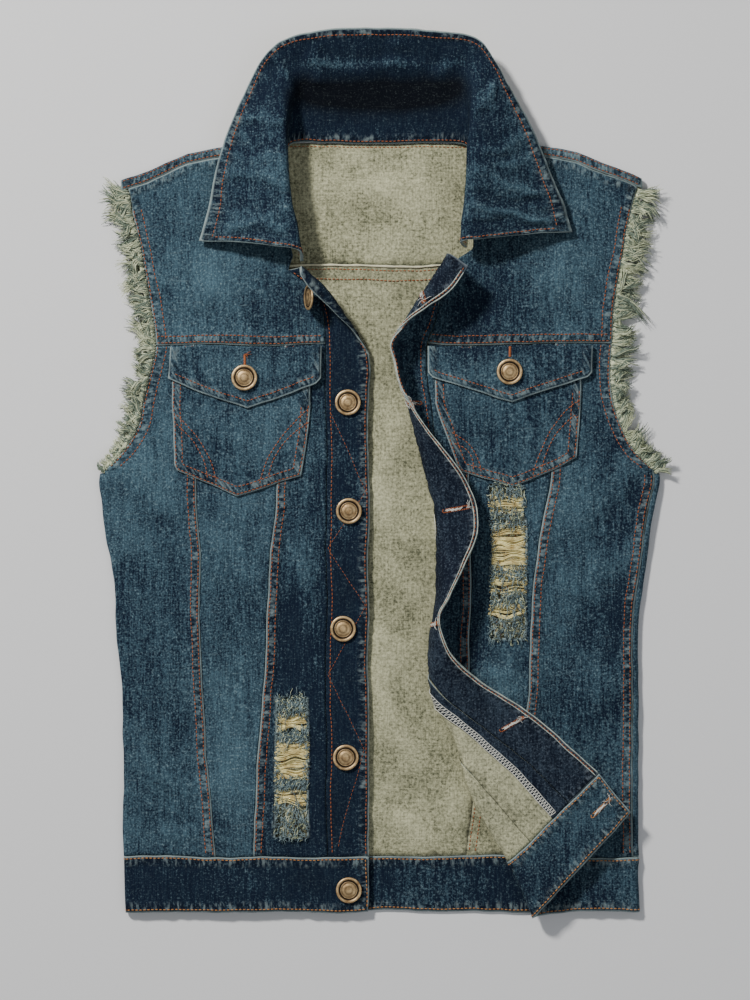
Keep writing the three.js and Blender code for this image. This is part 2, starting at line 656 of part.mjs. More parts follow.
// Dark strip along the inside of the left band, seen where the front turns over
function facingLeft() {
  const under = SINGLE / 2 + 2 * LAY_GAP + FACING_T / 2;
  const grid = LEFT_ROWS.filter((y) => y < -100).map((y) =>
    centerLeftColumns(y).slice(0, 4).map(({ x }) => {
      const { p, n } = onCloth(drapeLeft, x, y);
      return { p: p.addScaledVector(n, -under), n };
    }),
  );
  return clothWall("facing_left", grid, { thickness: FACING_T, color: FACING });
}

// Back panels: the centre one, and two sides that reach the armholes
function backCenter() {
  const rows = heights(BACK_YOKE_SEAM_Y - half, PANEL_LOW, 60);
  const grid = rows.map((y) => {
    const a = read(BACK_SEAMS, "right", y) + half;
    const b = read(BACK_SEAMS, "left", y) - half;
    return [0, 0.2, 0.4, 0.6, 0.8, 1].map((t) => ({ p: vec(lerp(a, b, t), y, BACK_Z) }));
  });
  return clothWall("back_center", grid, { thickness: SINGLE, color: DENIM, flip: false });
}

function backSide(name, side) {
  const key = side < 0 ? "right" : "left";
  const rows = [BACK_YOKE_SEAM_Y - half, 135, 108, ...UNDERARM_ROWS, ...SIDE_ROWS];
  const wraps = side > 0;
  const grid = rows.map((y) => {
    const a = read(BACK_SEAMS, key, y) + side * half;
    const outline = read(SILHOUETTE, key, y);
    const turn = outline - side * (FOLD_R + SINGLE / 2);
    const open = y > ARMHOLE_END_Y + 0.01;
    const b = open ? outline - side * 1 : wraps ? turn : turn - side * (UNDER_WRAP + SEAM_GAP);
    const line = [0, 1 / 3, 2 / 3, 1].map((t) => ({ p: vec(lerp(a, b, t), y, BACK_Z) }));
    if (!wraps) return line;
    for (const t of [0.25, 0.5, 0.75, 1]) {
      const angle = Math.PI * t;
      const x = turn + side * FOLD_R * Math.sin(angle);
      line.push({ p: vec(x, y, (FRONT_Z + BACK_Z) / 2 - FOLD_R * Math.cos(angle)) });
    }
    line.push({ p: vec(outline - side * (5 - SEAM_GAP), y, FRONT_Z) });
    return line;
  });
  const present = (i, j) => j < 3 || rows[i] <= ARMHOLE_END_Y + 0.01;
  return clothWall(name, grid, { thickness: SINGLE, color: DENIM, present, flip: side < 0 });
}

// Back yoke: flat under the neck, and over the shoulders onto the front
function backYoke() {
  const middle = (FRONT_Z + BACK_Z) / 2;
  const turnAt = (column) => column.top - FOLD_R - SINGLE / 2;
  const lap = BACK_YOKE.map((column) => ({
    p: vec(column.high, column.top - SHOULDER_LAP, FRONT_Z),
  }));
  const arc = [1, 0.75, 0.5, 0.25].map((t) =>
    BACK_YOKE.map((column) => {
      const y = turnAt(column) + FOLD_R * Math.sin(Math.PI * t);
      return { p: vec(column.high, y, middle - FOLD_R * Math.cos(Math.PI * t)) };
    }),
  );
  const under = [1, 0.8, 0.5, 0].map((level) =>
    BACK_YOKE.map((column) => {
      const top = column.shoulder ? turnAt(column) : BACK_NECK_Y;
      const x = lerp(column.low, column.high, level);
      return { p: vec(x, lerp(BACK_YOKE_SEAM_Y + half, top, level), BACK_Z) };
    }),
  );
  const present = (i, j) =>
    i >= arc.length + 1 || (BACK_YOKE[j].shoulder && BACK_YOKE[j + 1].shoulder);
  return clothWall("back_yoke", [lap, ...arc, ...under], {
    thickness: SINGLE,
    color: DENIM,
    present,
    flip: true,
  });
}

// Collar: stand and fall in one folded wall, lofted through its stations
function collar() {
  const stations = [];
  const lines = ["neck", "roll", "edge"].map(
    (key) => new THREE.CatmullRomCurve3(COLLAR.map((row) => vec(...row[key])), false, "centripetal"),
  );
  const count = 2 * (COLLAR.length - 1);
  for (let i = 0; i <= count; i += 1) {
    const k = i / count;
    const [neck, roll, edge] = lines.map((line) => line.getPoint(k));
    const section = new THREE.CatmullRomCurve3([neck, roll, edge], false, "centripetal");
    stations.push(section.getPoints(COLLAR_PARTS).map((p) => ({ p })));
  }
  return clothWall("collar", stations, { thickness: DOUBLE, color: DENIM });
}

// Hem band: one strip from the left front edge round the back to the right one
function waistband() {
  const rows = [BAND_TOP_Y - half, (BAND_TOP_Y + BAND_BOTTOM_Y) / 2, BAND_BOTTOM_Y];
  const lift = BAND_FRONT_Z - FRONT_Z;
  const middle = (BAND_FRONT_Z + BAND_BACK_Z) / 2;
  const turnAt = (y, key, side) => read(SILHOUETTE, key, y) - side * (BAND_FOLD_R + DOUBLE / 2);
  const near = [
    ...PLACKET_SHARES.map((share) => lerp(LEFT_EDGE_X, LEFT_INNER_X, share)),
    ...centerLeftColumns(PANEL_LOW).map(({ x }) => x).slice(1, -1),
    ...midLeftColumns(PANEL_LOW),
    130,
    150,
  ];
  const quarter = [0.25, 0.5, 0.75];
  const grid = rows.map((y) => {
    const leftTurn = turnAt(y, "left", 1);
    const rightTurn = turnAt(y, "right", -1);
    const line = [vec(178, y, BAND_FRONT_Z), vec(leftTurn, y, BAND_FRONT_Z)];
    for (const t of quarter) {
      const x = leftTurn + BAND_FOLD_R * Math.sin(Math.PI * t);
      line.push(vec(x, y, middle + BAND_FOLD_R * Math.cos(Math.PI * t)));
    }
    for (const t of [0, 0.25, 0.5, 0.75, 1]) {
      line.push(vec(lerp(leftTurn, rightTurn, t), y, BAND_BACK_Z));
    }
    for (const t of quarter) {
      const x = rightTurn - BAND_FOLD_R * Math.sin(Math.PI * t);
      line.push(vec(x, y, middle - BAND_FOLD_R * Math.cos(Math.PI * t)));
    }
    for (const t of [0, 0.2, 0.4, 0.6, 0.8, 1]) {
      line.push(vec(lerp(rightTurn, RIGHT_EDGE_X, t), y, BAND_FRONT_Z));
    }
    const draped = near.map((u) => {
      const { p, n } = onCloth(drapeLeft, u, y);
      return { p: p.add(vec(0, 0, lift)), n };
    });
    return [...draped, ...line.map((p) => ({ p }))];
  });
  return clothWall("waistband", grid, { thickness: DOUBLE, color: DENIM });
}

// A flat piece laid on a front, its outline given by top and bottom columns
function laidPiece(name, table, z, thickness) {
  const levels = [0, 0.35, 0.7, 1];
  const grid = levels.map((level) =>
    table.map(({ x, top, bottom }) => ({ p: vec(x, lerp(top, bottom, level), z) })),
  );
  return clothWall(name, grid, { thickness, color: DENIM });
}

const PANEL_FACE = FRONT_Z + SINGLE / 2 + WELT_RISE;
const POCKET_Z = PANEL_FACE + LAY_GAP + SINGLE / 2;
const FLAP_Z = POCKET_Z + SINGLE / 2 + LAY_GAP + DOUBLE / 2;

// Repeatable scatter from -1 to 1 for the frayed locks
const scatter = (k) => {
  const wave = Math.sin(k * 12.9898 + 4.1) * 43758.5453;
  return 2 * (wave - Math.floor(wave)) - 1;
};

// Frayed armhole edge: a strip of cloth with tapered locks fused along it
function fringe(name, side) {
  const key = side < 0 ? "right" : "left";
  const top = shoulderSeam(side * 214) - 2 * SEAM_GAP;
  const line = [];
  for (let y = top; y >= ARMHOLE_END_Y + 0.6; y -= 1) {
    line.push(vec(read(SILHOUETTE, key, y), y, FRONT_Z));
  }
  const curve = new THREE.CatmullRomCurve3(line);
  curve.arcLengthDivisions = 400;
  const length = curve.getLength();
  const pitch = length / LOCKS;
  const grid = [];
  for (let k = 0; k < LOCKS; k += 1) {
    const starts = (k + 0.2 + 0.12 * scatter(k)) * pitch;
    const reach = LOCK_REACH * (1 + 0.3 * scatter(k + 200));
    const lean = 0.35 * scatter(k + 400);
    const middle = (starts + LOCK_WIDTH / 2) / length;
    const tangent = curve.getTangentAt(middle);
    const outward = vec(-side * tangent.y, side * tangent.x, 0).normalize();
    const aim = outward.clone().addScaledVector(tangent, lean).normalize();
    const centre = curve.getPointAt(middle);
    for (const end of [0, 1]) {
      const root = curve.getPointAt((starts + end * LOCK_WIDTH) / length);
      const at = (share, width, z) => {
        const p = centre.clone().addScaledVector(aim, reach * share);
        p.addScaledVector(tangent, (end - 0.5) * width);
        p.z = z;
        return p;
      };
      grid.push([
        { p: vec(root.x - side * (FRINGE_STRIP - FRINGE_GAP), root.y, FRONT_Z), n: UP },
        { p: root, n: UP },
        { p: at(0.5, LOCK_WIDTH * 0.7, lerp(FRONT_Z, LOCK_TIP_Z, 0.35)), n: UP },
        { p: at(1, LOCK_WIDTH * 0.2, LOCK_TIP_Z + 0.8 * scatter(k + 600)), n: UP },
      ]);
    }
  }
  const present = (i, j) => j === 0 || i % 2 === 0;
  return clothWall(name, grid, {
    thickness: LOCK_T,
    color: FRINGE,
    present,
    flip: side < 0,
  });
}

// Cross threads left in a torn window, joined by a warp thread at each side
function ripThreads(name, hole, place) {
  const marks = [];
  for (const band of hole.bands) marks.push(band.top, band.bottom);
  const rows = [hole.top - THREAD_CLEAR, ...marks, hole.bottom + THREAD_CLEAR];
  const a = hole.right + THREAD_CLEAR;
  const b = hole.left - THREAD_CLEAR;
  const xs = [a, a + 1.6, lerp(a, b, 0.5), b - 1.6, b];
  const grid = rows.map((y, i) =>
    xs.map((x, j) => {
      const p = place(x, y);
      if (j === 2) p.z += 0.6;
      return { p };
    }),
  );
  const present = (i, j) => i % 2 === 1 || j === 0 || j === xs.length - 2;
  return clothWall(name, grid, { thickness: 0.8, color: THREADS, present });
}

// Tack button: a short shank under a rimmed, softly domed cap
const BUTTON_PROFILE = [
  { r: 3.4, z: 0 },
  { r: 3.4, z: 1.1 },
  { r: 9.6, z: 1.1 },
  { r: BUTTON_R, z: 1.9 },
  { r: 10, z: 2.8 },
  { r: 8.4, z: 2.8 },
  { r: 7.6, z: 2.3 },
  { r: 4, z: 2.9 },
];
const BUTTON_TOP = 3.1;

function button(name, base, normal) {
  const segments = 14;
  const turn = new THREE.Quaternion().setFromUnitVectors(vec(0, 0, 1), normal);
  const put = (r, k, z) => {
    const angle = (2 * Math.PI * k) / segments;
    return vec(r * Math.cos(angle), r * Math.sin(angle), z).applyQuaternion(turn).add(base);
  };
  const positions = [];
  const face = (...points) => points.forEach((p) => positions.push(p.x, p.y, p.z));
  const bottom = put(0, 0, 0);
  const top = put(0, 0, BUTTON_TOP);
  for (let k = 0; k < segments; k += 1) {
    face(bottom, put(BUTTON_PROFILE[0].r, k + 1, 0), put(BUTTON_PROFILE[0].r, k, 0));
    for (let i = 0; i < BUTTON_PROFILE.length - 1; i += 1) {
      const a = BUTTON_PROFILE[i];
      const b = BUTTON_PROFILE[i + 1];
      face(put(a.r, k, a.z), put(a.r, k + 1, a.z), put(b.r, k + 1, b.z));
      face(put(a.r, k, a.z), put(b.r, k + 1, b.z), put(b.r, k, b.z));
    }
    const rim = BUTTON_PROFILE[BUTTON_PROFILE.length - 1];
    face(top, put(rim.r, k, rim.z), put(rim.r, k + 1, rim.z));
  }
  return solid(name, positions, COPPER);
}

function frontButton(index) {
  const { u, y } = FRONT_BUTTONS[index];
  const { p, n } = onCloth(drapeRight, u, y);
  if (y < BAND_TOP_Y) p.z = BAND_FRONT_Z;
  p.addScaledVector(n, DOUBLE / 2 + LAY_GAP);
  return button(`front_button_${index + 2}`, p, n);
}

// The top button hangs on the rolled edge, its face turned away from it
function topButton() {
  return button("front_button_1", vec(...TOP_BUTTON.base), vec(...TOP_BUTTON.faces).normalize());
}

function flapButton(name, x, y) {
  return button(name, vec(x, y, FLAP_Z + DOUBLE / 2 + LAY_GAP), vec(0, 0, 1));
}

function build() {
  const vest = new THREE.Group();
  vest.name = "denim_vest";
  vest.add(
    backYoke(),
    backCenter(),
    backSide("back_side_right", -1),
    backSide("back_side_left", 1),
    frontYoke("front_yoke_right", -1),
    frontYoke("front_yoke_left", 1),
    frontSide("front_side_right", -1),
    frontSide("front_side_left", 1),
    frontMidRight(),
    frontMidLeft(),
    frontCenterRight(),
    frontCenterLeft(),
    placketRight(),
    placketLeft(),
    facingLeft(),
    laidPiece("pocket_right", POCKET_RIGHT, POCKET_Z, SINGLE),
    laidPiece("pocket_left", POCKET_LEFT, POCKET_Z, SINGLE),
    laidPiece("pocket_flap_right", FLAP_RIGHT, FLAP_Z, DOUBLE),
    laidPiece("pocket_flap_left", FLAP_LEFT, FLAP_Z, DOUBLE),
    collar(),
    waistband(),
    fringe("fringe_right", -1),
    fringe("fringe_left", 1),
    ripThreads("rip_threads_right", RIP_RIGHT, drapeRight),
    ripThreads("rip_threads_left", RIP_LEFT, drapeLeft),
    topButton(),
    ...FRONT_BUTTONS.map((_, index) => frontButton(index)),
    flapButton("flap_button_right", -116, 81.5),
    flapButton("flap_button_left", 102, 86),
  );
  // the middle of the part goes over the origin, its underside on Z = 0
  const box = new THREE.Box3().setFromObject(vest);
  const middle = box.getCenter(vec(0, 0, 0));
  vest.children.forEach((mesh) => {
    mesh.geometry.translate(-middle.x, -middle.y, -box.min.z);
    mesh.geometry.computeVertexNormals();
  });
  return vest;
}

export default build();
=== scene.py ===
# %% [markdown]
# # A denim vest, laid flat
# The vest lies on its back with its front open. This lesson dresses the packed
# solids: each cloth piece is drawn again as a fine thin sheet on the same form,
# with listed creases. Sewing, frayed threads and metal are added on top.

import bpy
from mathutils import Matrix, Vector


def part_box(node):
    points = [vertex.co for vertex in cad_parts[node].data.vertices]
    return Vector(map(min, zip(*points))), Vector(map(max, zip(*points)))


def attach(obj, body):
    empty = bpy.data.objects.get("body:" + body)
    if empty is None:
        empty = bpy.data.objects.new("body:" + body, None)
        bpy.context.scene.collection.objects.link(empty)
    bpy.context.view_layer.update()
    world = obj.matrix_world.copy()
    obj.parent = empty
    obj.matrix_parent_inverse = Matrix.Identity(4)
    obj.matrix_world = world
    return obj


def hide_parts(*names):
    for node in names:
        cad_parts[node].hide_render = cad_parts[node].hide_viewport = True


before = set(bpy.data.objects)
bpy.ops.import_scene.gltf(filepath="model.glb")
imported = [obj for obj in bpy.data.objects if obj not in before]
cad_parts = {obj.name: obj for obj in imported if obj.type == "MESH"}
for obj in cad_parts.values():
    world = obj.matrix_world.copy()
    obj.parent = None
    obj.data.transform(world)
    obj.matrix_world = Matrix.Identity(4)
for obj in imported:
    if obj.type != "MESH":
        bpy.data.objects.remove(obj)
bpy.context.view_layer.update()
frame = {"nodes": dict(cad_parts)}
nodes = frame["nodes"]

import math
import random

import bmesh
import bpy
import numpy as np
from mathutils import Matrix, Vector

MM = 0.001
# from the pattern's own centre lines to the frame, by the low right corner of a pocket's box
POCKET_CORNER = np.array([-174.5, -16])
SHIFT = np.array(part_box("pocket_right")[0][:2]) / MM - POCKET_CORNER
print("pattern to frame, mm:", SHIFT.round(2))

# %% [markdown]
# ## Camera, floor and light
# The photograph looks straight down on the vest. One large soft light from the
# upper left gives the crisp shadows under the collar, a weak fill the rest.

# %% Camera
PIXEL = 0.82  # mm of cloth under one pixel
VIEW_WIDE, VIEW_HIGH = 750, 1000  # pixels
ORIGIN_PIXEL = (386, 476)  # where the pattern's own origin shows
CAMERA_HEIGHT = 2.6
CLOTH_HEIGHT = 0.012
SENSOR = 36  # mm


def add_camera():
    from_origin = np.array([VIEW_WIDE / 2 - ORIGIN_PIXEL[0], ORIGIN_PIXEL[1] - VIEW_HIGH / 2])
    centre = (from_origin * PIXEL + SHIFT) * MM
    camera = bpy.data.cameras.new("camera")
    camera.sensor_width = SENSOR
    camera.lens = SENSOR * (CAMERA_HEIGHT - CLOTH_HEIGHT) / (VIEW_HIGH * PIXEL * MM)
    seen = bpy.data.objects.new("camera", camera)
    seen.location = (centre[0], centre[1], CAMERA_HEIGHT)
    bpy.context.scene.collection.objects.link(seen)
    bpy.context.scene.camera = seen


add_camera()


# %% Floor and lights
def deselect_all():
    if bpy.context.object and bpy.context.object.mode != "OBJECT":
        bpy.ops.object.mode_set(mode="OBJECT")
    bpy.ops.object.select_all(action="DESELECT")


def add_floor():
    deselect_all()
    bpy.ops.mesh.primitive_plane_add(size=12, location=(0, 0, -0.0002))
    floor = bpy.context.object
    floor.name = "floor"
    paper = bpy.data.materials.new("pale_paper")
    paper.use_nodes = True
    shader = paper.node_tree.nodes["Principled BSDF"]
    shader.inputs["Base Color"].default_value = (0.83, 0.83, 0.83, 1)
    shader.inputs["Roughness"].default_value = 0.9
    floor.data.materials.append(paper)


def add_light(name, place, energy, size, color=(1, 1, 1)):
    lamp = bpy.data.lights.new(name, "AREA")
    lamp.energy = energy
    lamp.size = size
    lamp.color = color
    light = bpy.data.objects.new(name, lamp)
    light.location = place
    light.rotation_euler = (Vector((0, 0, 0)) - Vector(place)).to_track_quat("-Z", "Y").to_euler()
    bpy.context.scene.collection.objects.link(light)


add_floor()
add_light("key", (-1.5, 1.7, 2.0), 104, 0.36, (1, 0.985, 0.96))
add_light("fill", (1.6, -0.6, 2.4), 13, 2.2, (0.94, 0.97, 1))
world = bpy.data.worlds.new("studio")
world.use_nodes = True
world.node_tree.nodes["Background"].inputs["Color"].default_value = (0.9, 0.93, 1, 1)
world.node_tree.nodes["Background"].inputs["Strength"].default_value = 0.24
bpy.context.scene.world = world

# %% [markdown]
# ## Shader maths as Python
# A small class wraps a socket, so that a mask is written as an expression and
# its Math nodes are added by the operators.

# %% Expressions
class Value:
    def __init__(self, tree, socket):
        self.tree = tree
        self.socket = socket

    def math(self, operation, other=None, swap=False, clamp=False):
        node = self.tree.nodes.new("ShaderNodeMath")
        node.operation = operation
        node.use_clamp = clamp
        pair = [self, other]
        if swap:
            pair.reverse()
        for k, item in enumerate(pair):
            if isinstance(item, Value):
                self.tree.links.new(item.socket, node.inputs[k])
            elif item is not None:
                node.inputs[k].default_value = item
        return Value(self.tree, node.outputs[0])

    def __add__(self, other):
        return self.math("ADD", other)

    __radd__ = __add__

    def __sub__(self, other):
        return self.math("SUBTRACT", other)

    def __rsub__(self, other):
        return self.math("SUBTRACT", other, swap=True)

    def __mul__(self, other):
        return self.math("MULTIPLY", other)

    __rmul__ = __mul__

    def limit(self):
        return self.math("ADD", 0.0, clamp=True)

    def between(self, low, high):
        """0 below low, 1 above high, and straight between them."""
        return ((self - low) * (1 / (high - low))).limit()


class Finish:
    """One material and the nodes that paint it."""

    def __init__(self, name, **fixed):
        self.material = bpy.data.materials.new(name)
        self.material.use_nodes = True
        self.tree = self.material.node_tree
        self.shader = self.tree.nodes["Principled BSDF"]
        for socket, value in fixed.items():
            self.shader.inputs[socket.replace("_", " ")].default_value = value
        self.place = self.node("TexCoord")["Object"]

    def node(self, kind, settings=None, **sockets):
        """Adds a node, sets it, feeds its sockets, and gives its outputs by name."""
        made = self.tree.nodes.new("ShaderNode" + kind)
        for key, value in (settings or {}).items():
            setattr(made, key, value)
        for key, value in sockets.items():
            socket = made.inputs[int(key[1:])] if key[1:].isdigit() else made.inputs[key]
            if isinstance(value, Value):
                self.tree.links.new(value.socket, socket)
            elif isinstance(value, tuple) and len(value) == 3 and socket.type == "RGBA":
                socket.default_value = (*value, 1)
            else:
                socket.default_value = value
        outputs = {out.name: Value(self.tree, out) for out in made.outputs if out.enabled}
        if "Fac" in outputs:
            outputs["Factor"] = outputs["Fac"]
        return outputs

    def noise(self, scale, detail=2.0, rough=0.5, stretch=(1, 1, 1), turn=0.0):
        """Soft noise with about `scale` lumps a metre, stretched and turned."""
        place = self.node(
            "Mapping",
            Vector=self.place,
            Rotation=(0, 0, turn),
            Scale=tuple(1 / s for s in stretch),
        )["Vector"]
        return self.node("TexNoise", Vector=place, Scale=scale, Detail=detail, Roughness=rough)["Factor"]

    def attribute(self, name):
        return self.node("Attribute", {"attribute_name": name})["Fac"]

    def mix(self, share, a, b):
        out = self.node("Mix", {"data_type": "RGBA"}, _0=share, _6=a, _7=b)
        return out["Result"]

    def paint(self, **sockets):
        for key, value in sockets.items():
            self.tree.links.new(value.socket, self.shader.inputs[key.replace("_", " ")])

    def bump(self, height, distance, strength=1.0):
        normal = self.node("Bump", Height=height, Distance=distance, Strength=strength)
        self.paint(Normal=normal["Normal"])


# %% [markdown]
# ## The pattern of the vest
# The cloth follows the same tables as the solids, in millimetres, so a fine
# grid can be drawn on exactly the same forms. Each table has a row per height.

# %% Sizes and tables
SINGLE, DOUBLE = 1.2, 2.2
HALF = 0.15
BACK_Z, FRONT_Z = 0.6, 5.8
FOLD_R = (FRONT_Z - BACK_Z) / 2
BAND_BACK_Z, BAND_FRONT_Z = 1.1, 6.5
BAND_FOLD_R = (BAND_FRONT_Z - BAND_BACK_Z) / 2
YOKE_SEAM, BACK_YOKE_SEAM, ARMHOLE_END = 108, 174, 2
BAND_TOP, BAND_BOTTOM = -313, -358
BACK_NECK = 273.5
STRIP = 3.8
RIGHT_EDGE, RIGHT_INNER = -14, -49
LEFT_EDGE, LEFT_INNER = 4, 39
POCKET_Z, FLAP_Z = 8.0, 10.0

OUTLINE = np.array(  # y, right, left
    [
        (239, -216, 211), (212, -212, 203), (180, -204, 197), (135, -196, 191),
        (108, -194, 189), (88, -197, 188), (64, -202, 190), (39, -209, 198),
        (16, -223, 212), (2, -235, 225), (-24, -233, 221), (-52, -230, 216),
        (-93, -224, 211), (-143, -221, 208), (-184, -217, 208), (-266, -216, 208),
        (-313, -216, 208), (-358, -214, 209),
    ], float,
)
SEAMS = np.array(  # y, right outer, right inner, left inner, left outer
    [
        (108, -158, -84, 71, 139), (-8, -155, -89, 69, 134), (-60, -153, -95, 69, 124),
        (-120, -152, -98, 69, 119), (-187, -149, -103, 71, 116), (-257, -145, -107, 78, 113),
        (-313, -141, -109, 84, 111),
    ], float,
)
BACK_SEAMS = np.array(  # y, right, left
    [(174, -125, 121), (0, -108, 104), (-160, -86, 84), (-313, -70, 67)], float
)
RIGHT_ROLL = np.array(  # y, fold x, y, z, edge x, y, z, rise
    [
        (168, -70, 170, 26, -70, 163, 33, 40), (158, -56, 158, 25, -63, 152, 32, 40),
        (147, -43, 144, 21, -52, 142, 28, 36), (126, -28, 124, 15, -33, 125, 20, 28),
        (113, -20, 112, 10, -22, 113, 13, 20), (98, -14, 98, 6, -14, 98, 6.2, 12),
        (70, -14, 70, 5.8, -14, 70, 5.8, 12),
    ], float,
)
LEFT_TURN = np.array(
    [
        (172, 50, 181, 26, 66, 170, 34, 40), (158, 45, 172, 26, 53, 151, 35, 40),
        (140, 32, 151, 24, 35, 138, 34, 34), (124, 18, 130, 20, 16, 125, 31, 26),
        (110, 8, 111, 16, 4, 109, 30, 18), (93, 8, 93, 14, 6, 92, 30, 14),
        (74, 13, 73, 13, 11, 72, 31, 12), (52, 20, 52, 13, 25, 52, 30, 12),
        (26, 26, 27, 13, 42, 28, 27, 12), (-3, 33, -2, 12, 62, 2, 23, 12),
        (-21, 39, -21, 12, 71, -16, 21, 12), (-37, 41, -37, 12, 75, -32, 21, 12),
        (-53, 42, -53, 12, 74, -49, 25, 12), (-77, 41, -77, 13, 64, -73, 33, 12),
        (-103, 41, -102, 14, 52, -98, 39, 14), (-119, 39, -117, 15, 44, -114, 41, 14),
        (-133, 36, -131, 15, 46, -128, 40, 14), (-149, 34, -148, 15, 54, -144, 36, 14),
        (-171, 36, -171, 14, 70, -161, 28, 12), (-190, 42, -189, 13, 85, -174, 24, 12),
        (-216, 55, -216, 13, 107, -187, 21, 12), (-252, 66, -252, 13, 135, -207, 20, 12),
        (-283, 80, -283, 13, 158, -229, 20, 12), (-313, 100, -317, 13, 174, -243, 20, 12),
        (-360, 122, -363, 13, 202, -276, 20, 12),
    ], float,
)
COLLAR = np.array(  # neck seam, roll line, free edge
    [
        (-69, 175, 18, -71, 184, 30, -153, 193, 11), (-75, 197, 16, -72, 200, 31, -147, 216, 12),
        (-81, 222, 13, -78, 226, 31, -141, 241, 14), (-84, 246, 9, -82, 262, 30, -131, 277, 17),
        (-84, 262, 5.5, -82, 292, 27, -117, 312, 20), (-80, 271, 3.4, -78, 318, 21, -103, 338, 22),
        (-71, 273.6, 2.2, -69, 324, 15, -85, 354, 24), (-46, 274, 1.8, -46, 321, 12, -54, 363, 26),
        (-6, 274, 1.8, -5, 320, 11, -5, 365, 26), (36, 274, 1.8, 36, 321, 12, 44, 363, 26),
        (58, 273.6, 2.2, 61, 324, 15, 74, 356, 24), (68, 271, 3.4, 69, 318, 21, 89, 339, 22),
        (71, 262, 5.5, 70, 292, 27, 103, 315, 20), (71, 246, 9, 68, 262, 30, 121, 282, 17),
        (68, 222, 13, 66, 226, 31, 136, 244, 14), (66, 203, 16, 63, 205, 31, 147, 220, 12),
        (65, 187, 18, 61, 191, 30, 153, 200, 11),
    ], float,
)
YOKE = np.array(  # x at the yoke seam, x and y at the top, 1 at a shoulder
    [
        (-203, -218, 243.5, 1), (-172, -194, 251, 1), (-145, -163, 265, 1),
        (-115, -134, 270.5, 1), (-84, -89, 272.5, 1), (-46, -46, BACK_NECK, 0),
        (-6, -6, BACK_NECK, 0), (36, 36, BACK_NECK, 0), (74, 77, 272.5, 1),
        (103, 129, 272, 1), (136, 157, 266.5, 1), (165, 188, 254, 1), (197, 210, 244, 1),
    ], float,
)
NECK = {
    -1: np.array([(-89, 264, 5.8), (-88.5, 246, 6), (-86, 222, 6.5), (-80, 198, 7.5), (-76, 181, 8)]),
    1: np.array([(77, 264, 5.8), (76, 246, 6), (73, 222, 6.5), (72, 203, 7.5), (71, 187, 8)]),
}
POCKETS = {  # x, bottom y
    "pocket_right": [(-174.5, 10), (-172, 5), (-148, -5), (-123, -16), (-96, -9), (-69, 0), (-62, 60)],
    "pocket_left": [(40, 60), (60, 4), (82, -3), (105, -9), (130, 3), (156, 15), (160, 72)],
}
FLAPS = {
    "pocket_flap_right": [(-178, 80), (-170, 76), (-145, 66), (-115, 55), (-84, 66), (-57, 76),
                          (-52.5, 80)],
    "pocket_flap_left": [(34, 84), (38, 80), (70, 71), (104, 61), (137, 72), (165, 82), (169, 86)],
}
RIP_RIGHT = {"right": -90, "left": -65, "top": -183, "bottom": -297,
             "bands": [(-196, -211), (-216, -251), (-257, -271)]}
RIP_LEFT = {"right": 86, "left": 114, "top": -8, "bottom": -133,
            "bands": [(-17, -30), (-41, -79), (-82, -96), (-107, -116)]}


# %% Reading a table along a smooth curve
def smooth(rows, at):
    """Every column of a table at the heights `at`, on a smooth curve."""
    rows = rows[np.argsort(rows[:, 0])]
    y, v = rows[:, 0], rows[:, 1:]
    slope = np.empty_like(v)
    slope[1:-1] = (v[2:] - v[:-2]) / (y[2:] - y[:-2])[:, None]
    slope[0] = (v[1] - v[0]) / (y[1] - y[0])
    slope[-1] = (v[-1] - v[-2]) / (y[-1] - y[-2])
    at = np.clip(np.asarray(at, float), y[0], y[-1])
    i = np.clip(np.searchsorted(y, at, side="right") - 1, 0, len(y) - 2)
    span = (y[i + 1] - y[i])[..., None]
    t = (at - y[i])[..., None] / span
    return (
        (2 * t**3 - 3 * t**2 + 1) * v[i] + (t**3 - 2 * t**2 + t) * slope[i] * span
        + (3 * t**2 - 2 * t**3) * v[i + 1] + (t**3 - t**2) * slope[i + 1] * span
    )


def drape(table, edge_u, side, u, y):
    """Cloth of a front at flat place (u, y), carried along by its front edge."""
    row = np.clip(y, table[:, 0].min(), table[:, 0].max())
    got = smooth(table, row)
    fold, edge, rise = got[..., 0:3].copy(), got[..., 3:6].copy(), got[..., 6]
    fold[..., 1] += y - row
    edge[..., 1] += y - row
    turned = np.linalg.norm(edge - fold, axis=-1)
    fold_u = edge_u + side * turned
    beyond = side * (fold_u - u)
    inward = np.maximum(0, -beyond)
    shift = fold[..., 0] - fold_u
    fade = (1 - np.clip(inward / np.maximum(60, 3 * np.abs(shift)), 0, 1)) ** 2
    climb = 1 - np.clip(inward / rise, 0, 1)
    before = np.stack(
        [
            u + shift * fade,
            y + (fold[..., 1] - y) * fade,
            FRONT_Z + (fold[..., 2] - FRONT_Z) * (1 - np.sqrt(1 - climb**2)),
        ], -1,
    )
    lift = edge[..., 2] - fold[..., 2]
    share = np.clip(beyond / np.maximum(turned, 1), 0, 1)[..., None]
    run = np.maximum(10, np.minimum(turned, 1.1 * np.abs(lift)))
    bend = 1 - np.clip(beyond / run, 0, 1)
    after = fold + (edge - fold) * share
    after[..., 2] = fold[..., 2] + lift * np.sqrt(1 - bend**2)
    over = ((beyond > 0) & (turned >= 1))[..., None]
    return np.where(over, after, before)


def drape_left(u, y):
    return drape(LEFT_TURN, LEFT_EDGE, 1, u, y)


def drape_right(u, y):
    return drape(RIGHT_ROLL, RIGHT_EDGE, -1, u, y)
